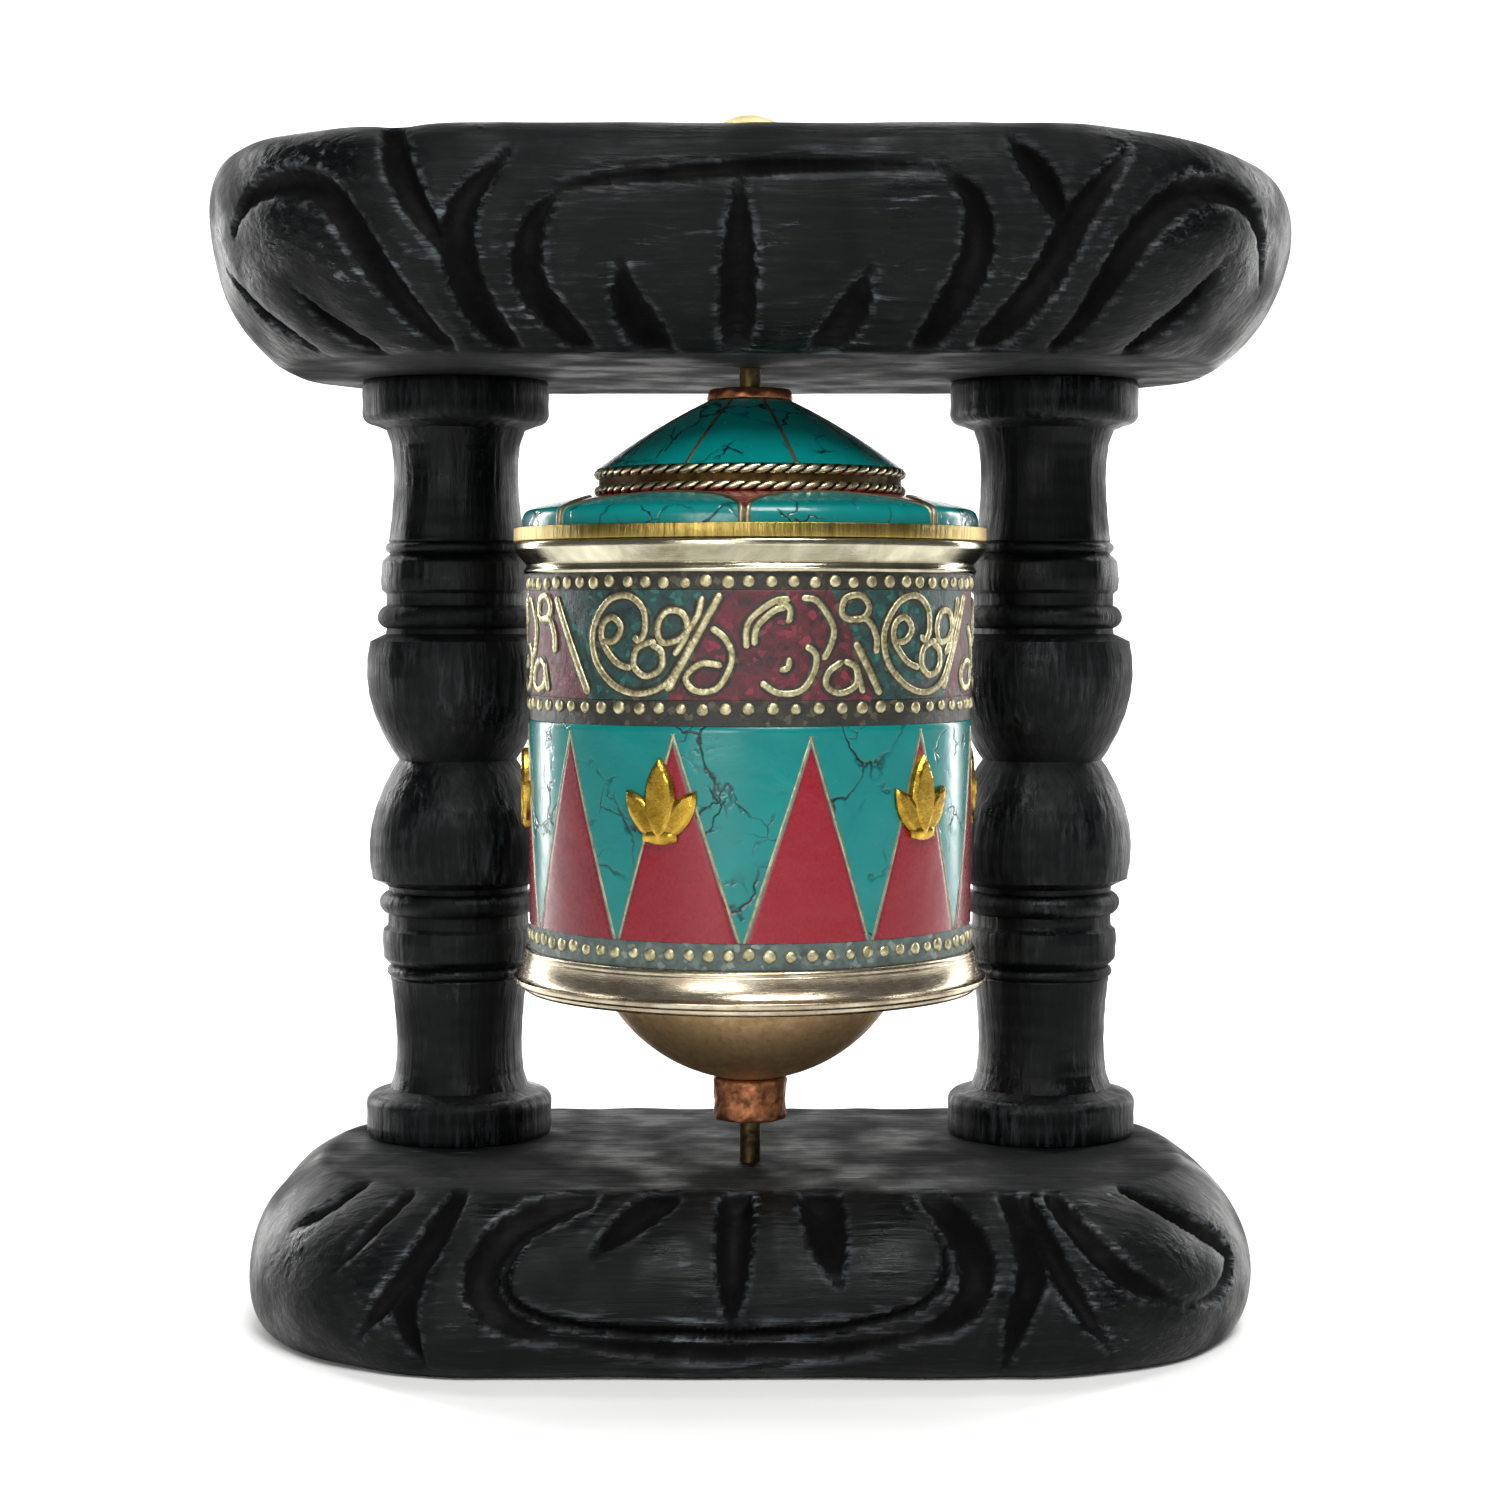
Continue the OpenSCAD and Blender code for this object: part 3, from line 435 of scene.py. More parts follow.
def turned(line, centre, segments=192, wobble=None):
    """Solid of revolution about an upright axis: each (radius, height) of the line goes round
    in a circle. A line that ends on the axis closes there. UV is mm round and mm along."""
    line = np.asarray(line, float)
    round_ = np.arange(segments) * 2 * math.pi / segments
    radius = np.broadcast_to(line[:, :1], (len(line), segments))
    if wobble is not None:
        radius = radius + wobble(round_[None, :], line[:, 1:]) * np.minimum(radius, 1)
    points = np.stack([centre[0] + radius * np.sin(round_), centre[1] - radius * np.cos(round_),
                       np.broadcast_to(line[:, 1:], radius.shape)], -1) * MM
    widest = line[:, 0].max()
    uv = np.stack(np.broadcast_arrays(round_[None, :] * widest, along(line)[:, None]), -1) * MM
    closed = bool(np.hypot(*(line[0] - line[-1])) > 1e-6 and line[0, 0] > 0)
    return points, closed, True, uv


def bored(board, holes):
    """Cuts round holes out of a board: each is (x, y, radius, low end, high end) in mm."""
    for x, y, radius, low, high in holes:
        line = np.array([[0, low], [radius, low], [radius, high], [0, high]])
        tool = shape("Cutter", [turned(line, (x, y), 48)])
        step = board.modifiers.new("Hole", "BOOLEAN")
        step.operation, step.solver, step.object = "DIFFERENCE", "EXACT", tool
        result = board.evaluated_get(bpy.context.evaluated_depsgraph_get())
        cut_mesh = bpy.data.meshes.new_from_object(result)
        board.modifiers.clear()
        board.data = cut_mesh
        bpy.data.objects.remove(tool)


lo, hi = box_mm("base_board")
grids, fields = carved_board(hi[0] - lo[0], BASE_DEPTH, hi[2] - lo[2], lo[2], True, base_strokes, 0.3, 0)
base = solid("Base_board_carved", grids, board_wood, "stand", 60, fields)
bored(base, [(0, -WHEEL_FRONT, POCKET_R, lo[2] - 1, lo[2] + POCKET_H),
             (0, -WHEEL_FRONT, ROD_HOLE_R, lo[2] - 1, hi[2] + 1)]
      + [(side * PILLAR_SIDE, PILLAR_BACK, HEAD_HOLE_R, lo[2] - 1, lo[2] + HEAD_HOLE_H)
         for side in (-1, 1)])
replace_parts(base, "base_board")
lo, hi = box_mm("top_board")
grids, fields = carved_board(hi[0] - lo[0], TOP_DEPTH, hi[2] - lo[2], lo[2], False, top_strokes, 0.9, 4.0)
top = solid("Top_board_carved", grids, board_wood, "stand", 60, fields)
bored(top, [(side * PILLAR_SIDE, PILLAR_BACK, HEAD_HOLE_R, hi[2] - HEAD_HOLE_H, hi[2] + 1)
            for side in (-1, 1)])
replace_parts(top, "top_board")

# ---- turned pillars ----
# Two baluster pillars of the same hardwood, turned between centres and stained black, with a
# square-edged collar at each end, three beads and two swellings about a waist.
def softened(points, radius, steps=4):
    """Closed or open line with its corners rounded: each corner becomes a parabola between
    points at most the radius away on both of its sides."""
    p = np.asarray(points, float)
    before, after = np.roll(p, 1, 0) - p, np.roll(p, -1, 0) - p
    back = np.linalg.norm(before, axis=1, keepdims=True)
    ahead = np.linalg.norm(after, axis=1, keepdims=True)
    a = p + before / back * np.minimum(radius, 0.4 * back)
    b = p + after / ahead * np.minimum(radius, 0.4 * ahead)
    t = np.linspace(0, 1, steps)[None, :, None]
    return ((1 - t) ** 2 * a[:, None] + 2 * t * (1 - t) * p[:, None] + t ** 2 * b[:, None]).reshape(-1, 2)


# Radii and heights in mm from the waist up; the swellings and necks scale with the half height
bead = lambda r, h, size: np.column_stack([r - size + size * np.cos(np.radians(np.linspace(-75, 75, 9))),
                                           h + size * np.sin(np.radians(np.linspace(-75, 75, 9)))])
lo, hi = box_mm("left_pillar")
half = (hi[2] - lo[2]) / 2
collar, bulge, waist, neck = (hi[0] - lo[0]) / 2, 14.3, 9.5, 10.0
u = np.linspace(0, 4 / 3, 28)
t = np.linspace(0, 1, 14)
q = np.radians(np.linspace(0, 90, 8))
upper = np.concatenate([
    np.column_stack([bulge - (bulge - waist) * (1 - u) ** 2, 0.236 * half * u]),
    [[11.3, 20.2]], bead(12.6, 22.9, 1.9),
    [[11.2, 26.0], [11.3, 26.6], [12.0, 27.2], [12.15, 29], [11.9, 31.8], [11.3, 32.5], [10.9, 32.8]],
    bead(11.4, 33.9, 0.9),
    np.column_stack([neck + 0.9 * (1 - t) ** 2, (0.58 + 0.19 * t) * half]),
    [[neck + 0.3, 0.83 * half], [neck + 1.1, 0.872 * half]],
    np.column_stack([collar - 1.6 * (1 - np.sin(q)), (0.912 - 0.026 * np.cos(q)) * half]),
    [[collar, half - 0.7], [collar - 0.2, half - 0.2], [collar - 0.7, half]]])
outline = np.concatenate([[[0, -half]], upper[:0:-1] * [1, -1], upper, [[0, half]]])
far = along(outline)
even = np.unique(np.concatenate([np.linspace(0, far[-1], 330), far]))
outline = np.column_stack([np.interp(even, far, outline[:, i]) for i in (0, 1)])
bent = np.abs(np.gradient(np.gradient(outline[:, 0])))
pillar_wood = wood("Hardwood_turned_black_stain", (1.0, 1.0, 0.12), 0.1)
for side, node, name in ((-1, "left_pillar", "Left_pillar_turned"),
                         (1, "right_pillar", "Right_pillar_turned")):
    lo, hi = box_mm(node)
    place = ((lo[0] + hi[0]) / 2, PILLAR_BACK)
    by_hand = lambda a, z: (0.1 * np.sin(2 * a + z / 9 + side) + 0.05 * np.sin(5 * a - z / 6)
                            + 0.03 * np.sin(z * 2.1))
    grid = turned(outline + [0, (lo[2] + hi[2]) / 2], place, 160, by_hand)
    proud = np.clip((outline[:, 0] - 11.5) / 30, 0, 0.08)[:, None]
    fields = {"lip": np.broadcast_to(proud, (len(outline), 160)), "cut": np.zeros((len(outline), 160)),
              "face": np.zeros((len(outline), 160))}
    pillar = solid(name, [grid], pillar_wood, "stand", 40, fields)
    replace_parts(pillar, node)


# ---- screws in the boards ----
# Slotted countersunk steel screws through the boards into the pillars' ends.
def refinish(mat, *nodes):
    """Gives carried-over nodes another material."""
    for node in nodes:
        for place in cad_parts[node].material_slots:
            place.material = mat


# Zinc-plated steel, drawn and tumbled: grey, with dull spots
zinc, tree, shader, where = finish("Steel_zinc_plated", Metallic=1.0)
spots = add(tree, "TexNoise", {"Vector": where, "Scale": 1000 / 1.2, "Detail": 5.0})
tone = add(tree, "Mix", {0: spots, 6: srgb("#7d7b76"), 7: srgb("#b4b1aa")}, out=2, data_type="RGBA")
rough = add(tree, "MapRange", {"Value": spots, "To Min": 0.25, "To Max": 0.55})
join(shader, Base_Color=tone, Roughness=rough)
refinish(zinc, "lower_screws", "upper_screws", "foot_washer", "foot_nut")

# ---- spindle with its nuts ----
# A drawn brass-bronze rod, fixed in both boards. A domed brass nut on a washer closes it on
# top, a hexagon nut holds it below, and a soldered ring carries the wheel.
AXIS = (0.0, -WHEEL_FRONT)


def metal(name, dark, light, rough, patch_mm, scratch=0.25, stretch=(1, 1, 1), grain_mm=0.35, dent=0.0,
          dirt=None):
    """Metal with patches between two colours, a range of roughness that follows them, fine
    lines stretched along an axis, dents of the given depth in mm, and dirt where a field is high."""
    mat, tree, shader, where = finish(name, Metallic=1.0)
    patch = add(tree, "TexNoise", {"Vector": where, "Scale": 1000 / patch_mm, "Detail": 6.0,
                                   "Roughness": 0.6, "Distortion": 0.5})
    tone = tint(tree, patch, (0.32, 0.68), dark, light)
    if dirt:
        hollow = add(tree, "Attribute", attribute_name=dirt, out="Fac")
        tone = tint(tree, hollow, (0.2, 0.6), tone, "#0c0905")
    lines = add(tree, "Mapping", {"Vector": where, "Scale": stretch})
    line = add(tree, "TexNoise", {"Vector": lines, "Scale": 1000 / grain_mm, "Detail": 4.0,
                                  "Roughness": 0.7})
    both = add(tree, "Math", {0: patch, 1: line}, operation="ADD")
    coarse = add(tree, "MapRange", {"Value": both, "From Min": 1.25, "From Max": 0.75,
                                    "To Min": rough[0], "To Max": rough[1]})
    height = add(tree, "Bump", {"Height": line, "Distance": 0.00008, "Strength": scratch})
    if dent:
        blow = add(tree, "TexVoronoi", {"Vector": where, "Scale": 1000 / 1.7,
                                        "Smoothness": 0.8}, feature="SMOOTH_F1")
        height = add(tree, "Bump", {"Height": blow, "Distance": dent * MM, "Strength": 1.0,
                                    "Normal": height})
    join(shader, Base_Color=tone, Roughness=coarse, Normal=height)
    return mat


# Bronze rod, drawn and left to tarnish: greenish brown, with dull lengthwise streaks
rod_mat = metal("Bronze_drawn_tarnished", "#2e271c", "#75653f", (0.35, 0.6), 3.0, 0.5, (1, 1, 0.1))
lo, hi = box_mm("spindle")
rod_r = (hi[0] - lo[0]) / 2
rod_line = np.array([[0, lo[2]], [rod_r - 0.3, lo[2]], [rod_r, lo[2] + 0.3], [rod_r, hi[2] - 0.3],
                     [rod_r - 0.3, hi[2]], [0, hi[2]]])
rod = solid("Spindle_rod", [turned(rod_line, AXIS, 48)], rod_mat, "stand")
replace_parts(rod, "spindle")

# Brass, turned and handled: warm yellow-brown, with soft wear
old_brass = metal("Brass_turned_worn", "#8a6f35", "#c6aa62", (0.22, 0.45), 4.0, 0.3, (1, 1, 6))
lo, hi = box_mm("cap_nut")
dome_r, dome_h, ball = (hi[0] - lo[0]) / 2, hi[2] - lo[2], 8.1
t = np.linspace(0, math.acos(1 - dome_h / ball), 24)[::-1]
dome_line = np.concatenate([[[0, lo[2]], [dome_r - 0.2, lo[2]]],
                            np.column_stack([ball * np.sin(t), hi[2] - ball * (1 - np.cos(t))])])
dome = solid("Domed_nut", [turned(dome_line, AXIS, 96)], old_brass, "stand")
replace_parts(dome, "cap_nut")
refinish(old_brass, "cap_washer", "thrust_collar", "core_tube")

# ---- inside of the wheel ----
# A soldered sheet-brass drum holds the rolled paper strip of prayers on its core tube. None of
# it shows from outside.
# Sheet brass, rolled and soldered: dull yellow with brown stains
sheet_brass = metal("Brass_sheet_rolled", "#6f5a2c", "#a98f4a", (0.35, 0.6), 6.0, 0.3, (1, 1, 4))
refinish(sheet_brass, "drum_shell", "drum_floor", "shoulder_plate", "cone_shell")
# Handmade paper, rolled tight: cream, with the turns' edges as fine rings
roll_mat, tree, shader, where = finish("Paper_handmade_rolled", Roughness=0.85)
rings = add(tree, "TexWave", {"Vector": where, "Scale": 1000 / 4.0, "Distortion": 1.5,
                              "Detail": 2.0}, wave_type="RINGS", rings_direction="Z", out=1)
tone = add(tree, "Mix", {0: rings, 6: srgb("#c9b98e"), 7: srgb("#e6dab6")}, out=2, data_type="RGBA")
join(shader, Base_Color=tone)
refinish(roll_mat, "prayer_roll")

# ---- flange, bowl and bush under the drum ----
# A spun brass flange with a double lip carries the drum's wall, a thin spun bowl closes it
# below, and a hammered copper bush grips the core tube.
lo, hi = box_mm("bottom_flange")
low_rim, flange_low, flange_high = (hi[0] - lo[0]) / 2, lo[2], hi[2]
wall = low_rim - 2.4
t = np.linspace(0, math.pi / 2, 16)
flange_line = softened(np.concatenate([
    [[wall - 4, flange_high], [wall + 0.5, flange_high], [wall + 0.75, flange_high - 0.4],
     [wall + 0.7, flange_high - 0.9]],
    np.column_stack([wall + 0.8 + 1.6 * (1 - np.cos(t)), flange_low + 2.1 + 3.4 * (1 - np.sin(t))]),
    [[low_rim, flange_low + 1.35], [low_rim - 0.5, flange_low + 1.0], [low_rim - 1.3, flange_low + 0.95],
     [low_rim - 1.25, flange_low + 0.5], [low_rim - 1.7, flange_low + 0.05], [low_rim - 6, flange_low],
     [wall - 11, flange_low], [wall - 11, flange_low + 1.2], [wall - 4, flange_low + 2.4]]]), 0.25)
# Brass alloy, spun and polished: pale cream metal, pinkish where the plating is thin, with
# fine turning lines round it
flange_mat = metal("Brass_spun_polished", "#8f7d68", "#dcd0b6", (0.14, 0.34), 7.0, 0.3, (1, 1, 14), 2.5)
flange = solid("Lower_flange", [turned(flange_line, AXIS, 256)], flange_mat, "wheel", 50)
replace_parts(flange, "bottom_flange")

lo, hi = box_mm("bottom_bowl")
ball, mouth, hole = 25.1, (hi[0] - lo[0]) / 2, 4.4
t = np.linspace(math.asin(mouth / ball), math.asin(hole / ball), 40)
centre_z = hi[2] + ball * math.cos(t[0])
outer = np.column_stack([ball * np.sin(t), centre_z - ball * np.cos(t)])
inner = np.column_stack([(ball - 1) * np.sin(t), np.minimum(hi[2], centre_z - (ball - 1) * np.cos(t))])
# Bronze, spun and dulled by handling: brown-gold with small dark specks and a soft glow
bowl_mat = metal("Bronze_spun_dull", "#b08c60", "#e6c596", (0.36, 0.55), 1.8, 0.6, (1, 1, 5), 0.8)
bowl = solid("Bowl_spun", [turned(np.concatenate([outer, inner[::-1]]), AXIS, 192)], bowl_mat,
             "wheel", 50)
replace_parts(bowl, "bottom_bowl")

lo, hi = box_mm("bottom_bush")
bush_r, bush_low = (hi[0] - lo[0]) / 2, lo[2]
bush_high = hi[2] - 2.5
bush_line = softened([[bush_r - 1.4, bush_low], [bush_r - 0.2, bush_low], [bush_r, bush_low + 0.8],
                      [bush_r - 0.25, bush_low + 3], [bush_r + 0.05, bush_high - 0.4],
                      [bush_r - 0.3, bush_high], [4.4, bush_high], [4.4, hi[2]], [2.7, hi[2]],
                      [2.7, bush_low + 3.3], [3.9, bush_low + 3.3], [3.9, bush_low]], 0.3)
dents = lambda a, z: 0.12 * np.sin(7 * a + z) * np.sin(z * 1.9) + 0.08 * np.sin(13 * a - 2 * z)
# Copper, cut and hammered round: red-brown, dented, with brighter worn spots
copper = metal("Copper_hammered", "#6a4a34", "#bd7c56", (0.4, 0.65), 1.6, 0.7, (1, 1, 1), 0.6, 0.25)
bush = solid("Bush_hammered", [turned(bush_line, AXIS, 96, dents)], copper, "wheel", 50)
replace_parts(bush, "bottom_bush")


# ---- stone inlay of the drum's wall ----
# A ring of pressed turquoise with eleven tall coral triangles let into it, each edged with a
# flat brass wire, ground flush and polished.
def on_wheel(angle, radius, z):
    """Point in metres on the wheel: angle in radians from the front towards the right, radius
    and height in mm."""
    x, y, z = np.broadcast_arrays(radius * np.sin(angle), -WHEEL_FRONT - radius * np.cos(angle), z)
    return np.stack([x, y, z], -1) * MM


def plate(angle, outer, inner):
    """Closed plate let into the wheel: angle[rows, columns] with the outer face's (radius,
    height) there and the inner face's below it. The two faces share their rims."""
    top = on_wheel(angle, *outer)
    bottom = on_wheel(angle, *inner)
    loop = np.concatenate([top, bottom[:, ::-1]], 1)
    uv = np.stack([angle * wall_r, np.broadcast_to(outer[1], angle.shape)], -1) * MM
    cap = lambda r: np.stack([top[r], bottom[r]])
    flat = np.zeros((2, angle.shape[1], 2))
    return [(loop, False, True, np.concatenate([uv, uv[:, ::-1]], 1)),
            (cap(0), False, False, flat), (cap(-1), False, False, flat)]


def eased(count):
    """Numbers from 0 to 1 that crowd towards both ends, as a half cosine does."""
    return 0.5 - 0.5 * np.cos(np.linspace(0, math.pi, count))


def wall_plate(left, right, z, radius, thick=1.0, soft=0.1, columns=14):
    """Plate on the wall between two lines of angles, one pair for each height, with its sides
    rounded down by a little."""
    p = eased(columns)
    angle = left[:, None] + (right - left)[:, None] * p
    near = np.minimum(p, 1 - p) * np.abs(right - left)[:, None] * radius
    outer = radius - soft * np.exp(-(near / 0.12) ** 2)
    z = np.broadcast_to(z[:, None], angle.shape)
    return plate(angle, (outer, z), (np.full(angle.shape, radius - thick), z))


def ring(low, high, radius, thick=1.1, soft=0.12):
    """Plain ring let into the wall, with softened edges."""
    rows = np.linspace(high - soft, low + soft, 40)
    line = np.concatenate([[[radius - thick, high], [radius - soft, high]],
                           np.column_stack([np.full(40, radius), rows]),
                           [[radius - soft, low], [radius - thick, low]]])
    return turned(line, AXIS, 256)


lo, hi = box_mm("triangle_turquoise")
wall_r, band_low, band_high = (hi[0] - lo[0]) / 2, lo[2], hi[2]
TRIANGLES, PHASE = 11, math.radians(14.4)


def stone(name, dark, mid, light, vein, vein_mm, vein_share, rough):
    """Pressed stone of two close colours in soft clouds, with dark veins along the borders of
    warped cells, shown only where a second cloud lets them."""
    mat, tree, shader, where = finish(name, IOR=1.5, Specular_IOR_Level=0.45)
    cloud = add(tree, "TexNoise", {"Vector": where, "Scale": 1000 / 9.0, "Detail": 5.0,
                                   "Distortion": 0.6})
    tone = add(tree, "Mix", {0: cloud, 6: srgb(dark), 7: srgb(light)}, out=2, data_type="RGBA")
    speck = add(tree, "TexNoise", {"Vector": where, "Scale": 1000 / 0.7, "Detail": 3.0})
    tone = tint(tree, speck, (0.45, 0.75), tone, mid, 0.5)
    bright = add(tree, "Attribute", attribute_name="bright", out="Fac")
    tone = add(tree, "Mix", {0: bright, 6: tone, 7: srgb(light)}, out=2, data_type="RGBA")
    bent = add(tree, "TexNoise", {"Vector": where, "Scale": 1000 / 5.0, "Detail": 3.0}, out=1)
    shift = add(tree, "VectorMath", {0: bent, 1: (0.006, 0.006, 0.006)}, operation="MULTIPLY")
    warped = add(tree, "VectorMath", {0: where, 1: shift}, operation="ADD")
    crack = None
    for scale, width, low in ((vein_mm, 0.022, vein_share), (vein_mm * 0.4, 0.04, vein_share + 0.07)):
        cell = add(tree, "TexVoronoi", {"Vector": warped, "Scale": 1000 / scale},
                   feature="DISTANCE_TO_EDGE")
        line = add(tree, "MapRange", {"Value": cell, "From Min": width, "From Max": width * 0.2})
        mask = add(tree, "TexNoise", {"Vector": where, "Scale": 1000 / (scale * 1.4),
                                      "Detail": 2.0})
        shown = add(tree, "MapRange", {"Value": mask, "From Min": low, "From Max": low + 0.1})
        line = add(tree, "Math", {0: line, 1: shown}, operation="MULTIPLY")
        crack = line if crack is None else add(tree, "Math", {0: crack, 1: line},
                                               operation="MAXIMUM")
    tone = add(tree, "Mix", {0: crack, 6: tone, 7: srgb(vein)}, out=2, data_type="RGBA")
    gloss = add(tree, "MapRange", {"Value": speck, "To Min": rough[0], "To Max": rough[1]})
    wave = add(tree, "Bump", {"Height": cloud, "Distance": 0.0006, "Strength": 0.25})
    pit = add(tree, "Bump", {"Height": crack, "Distance": 0.00012, "Strength": 0.6, "Normal": wave},
              invert=True)
    join(shader, Base_Color=tone, Roughness=gloss, Normal=pit)
    return mat


# Turquoise, pressed from powder and polished: blue-green in soft clouds, crossed by thin black
# crackle, with a hard gloss
turquoise = stone("Turquoise_pressed_polished", "#016160", "#026c68", "#047b77", "#061416", 15.0, 0.46,
                  (0.16, 0.32))
# Coral, pressed and polished: crimson with a paler cloud and hardly any crack
coral = stone("Coral_pressed_polished", "#520916", "#6b1927", "#800b1d", "#3c0810", 22.0, 0.64, (0.2, 0.36))
band = solid("Turquoise_band", [ring(band_low, band_high, wall_r)], turquoise, "wheel", 50)
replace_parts(band, "triangle_turquoise")

centres = PHASE + 2 * math.pi * np.arange(1, TRIANGLES + 1) / TRIANGLES
rng = np.random.default_rng(11)
lean = rng.normal(0, 0.006, TRIANGLES)
half_turn = math.pi / TRIANGLES - 0.006
climb = np.linspace(0, 1, 30)
tips = band_high - 0.6 - np.abs(rng.normal(0, 0.5, TRIANGLES))
corals, edges = [], []
for centre, off, tip in zip(centres, lean, tips):
    z = band_low + (tip - band_low) * climb
    middle = centre + off * climb
    wide = half_turn * (1 - climb) + 0.004
    wire = 0.45 / wall_r
    left = middle - wide + wire
    corals += wall_plate(left, np.maximum(middle + wide - wire, left + 1e-4), z, wall_r + 0.03)
    for sign in (-1, 1):
        edge_line = middle + sign * (wide - wire / 2)
        edges += wall_plate(edge_line - wire / 2, edge_line + wire / 2, z, wall_r + 0.1, 1.0, 0.1, 7)
# How much brighter each triangle's stone is than the darkest
stone_tone = np.repeat(rng.permutation(np.linspace(0, 0.85, TRIANGLES)),
                       sum(grid[0].shape[0] * grid[0].shape[1] for grid in corals) // TRIANGLES)
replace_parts(solid("Coral_triangles", corals, coral, "wheel", 50, {"bright": stone_tone}),
            "triangle_coral")
# Brass strip, set on edge and ground flush: pale gold, scratched across
wire_brass = metal("Brass_strip_ground", "#77705a", "#b3aa88", (0.35, 0.55), 1.5, 0.5, (1, 1, 1), 0.4)
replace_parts(solid("Triangle_wires", edges, wire_brass, "wheel", 50), "triangle_wires")

# ---- scroll band ----
# Between two rows of brass dots runs a band of rough paste, turquoise and coral fields in turn,
# with scrolls of flat brass wire pressed into it and ground.
lo, hi = box_mm("scroll_coral")
scroll_low, scroll_high = lo[2], hi[2]
scroll_mid = (scroll_low + scroll_high) / 2


def paste(name, dark, mid, light):
    """Filler paste of ground stone in glue: grains of three tones and pits, dull."""
    mat, tree, shader, where = finish(name, IOR=1.5)
    grain = add(tree, "TexVoronoi", {"Vector": where, "Scale": 1000 / 0.9}, out="Color")
    grain = add(tree, "SeparateColor", {0: grain})
    cloud = add(tree, "TexNoise", {"Vector": where, "Scale": 1000 / 2.6, "Detail": 6.0,
                                   "Roughness": 0.7})
    tone = tint(tree, cloud, (0.36, 0.64), dark, mid)
    tone = tint(tree, grain, (0.8, 0.95), tone, light, 0.7)
    rough = add(tree, "MapRange", {"Value": cloud, "To Min": 0.3, "To Max": 0.75})
    pits = add(tree, "Bump", {"Height": cloud, "Distance": 0.0004, "Strength": 0.8})
    join(shader, Base_Color=tone, Roughness=rough, Normal=pits)
    return mat


# Stone paste, pressed in and rubbed down: dull and grainy, dark between the chips
coral_paste = paste("Coral_paste_rubbed", "#1c0a0d", "#57131f", "#7d2134")
teal_paste = paste("Turquoise_paste_rubbed", "#051817", "#0d3d39", "#1a5f58")
dark_paste = paste("Dark_mastic_rubbed", "#0b0a07", "#201e15", "#4a4633")
grey_paste = paste("Grey_mastic_rubbed", "#2e3a38", "#51605b", "#7c877f")

fields_ring = ring(scroll_low, scroll_high, wall_r - 0.05, 1.0, 0.02)
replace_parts(solid("Coral_fields", [fields_ring], coral_paste, "wheel", 50), "scroll_coral")
teal_centres = np.radians([-32, 45, 141, 232])
TEAL_TOP, TEAL_FOOT = math.radians(25), math.radians(11.5)
climb = np.linspace(0, 1, 24)
z = scroll_low + (scroll_high - scroll_low) * climb
reach = np.arcsin(math.sin(TEAL_FOOT) * (1 - climb) + math.sin(TEAL_TOP) * climb)
teals = []
for centre in teal_centres:
    teals += wall_plate(centre - reach, centre + reach, z, wall_r, 0.9, 0.02, 30)
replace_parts(solid("Turquoise_fields", teals, teal_paste, "wheel", 50), "scroll_teal")


def wire_on_wall(centre, points, width=1.0, height=0.3):
    """Flat wire bent to the wall along a smooth line through points (mm across, mm up from the
    band's middle): half an ellipse, flattened and carried along it, narrowed to nothing at both
    ends, its top ridged across every 0.8 mm."""
    line = through(points, 9)
    far = along(line)
    even = np.linspace(0, far[-1], max(8, int(far[-1] / 0.28)))
    line = np.column_stack([np.interp(even, far, line[:, i]) for i in (0, 1)])
    way = np.gradient(line, axis=0)
    way /= np.linalg.norm(way, axis=1)[:, None]
    end = np.sqrt(np.clip(np.minimum(even, even[-1] - even) / 0.5, 0, 1))[:, None]
    t = np.radians(np.linspace(0, 180, 7))[None, :]
    side = 0.5 * width * np.cos(t) * end
    up = height * np.sin(t) ** 0.45 * end * (1 + 0.22 * np.sin(even * 2 * math.pi / 0.8))[:, None]
    across = line[:, :1] - way[:, 1:] * side
    rise = line[:, 1:] + way[:, :1] * side
    top = on_wheel(centre + across / wall_r, wall_r + up, scroll_mid + rise)
    foot = on_wheel(centre + across / wall_r, wall_r - 0.4, scroll_mid + rise)
    return [(np.concatenate([top, foot[:, ::-1]], 1), False, True, None)]


# A turquoise field: one large open loop that curls inside itself, with small loops beside it
teal_wires = [
    [(2.6, 1.4), (3.6, 0.6), (4.6, 2.2), (4.2, 5.2), (1.6, 7), (-2, 6), (-4.6, 2), (-4, -2.4),
     (-0.6, -5.8), (3.6, -6.9), (7.6, -5.6), (10, -2.6), (12, 1)],
    [(2.4, -3.4), (-0.4, -2.4), (-2.8, 0.6), (-2.6, 3), (-0.8, 3.9), (0.6, 2.4), (-0.6, 0.6), (-3, 0.4)],
    [(6.4, 0.2), (5.4, 0.4), (3.2, -0.6), (2.8, -3), (4.6, -4.4), (7, -3.4), (7.2, -1), (5.4, 0.2)],
    [(13.2, 7), (12.4, 4), (10, 1), (7.2, 0.4), (6.6, 2.8), (8, 4.8), (10.4, 4.4), (11, 1.8), (9, -1.6)],
]
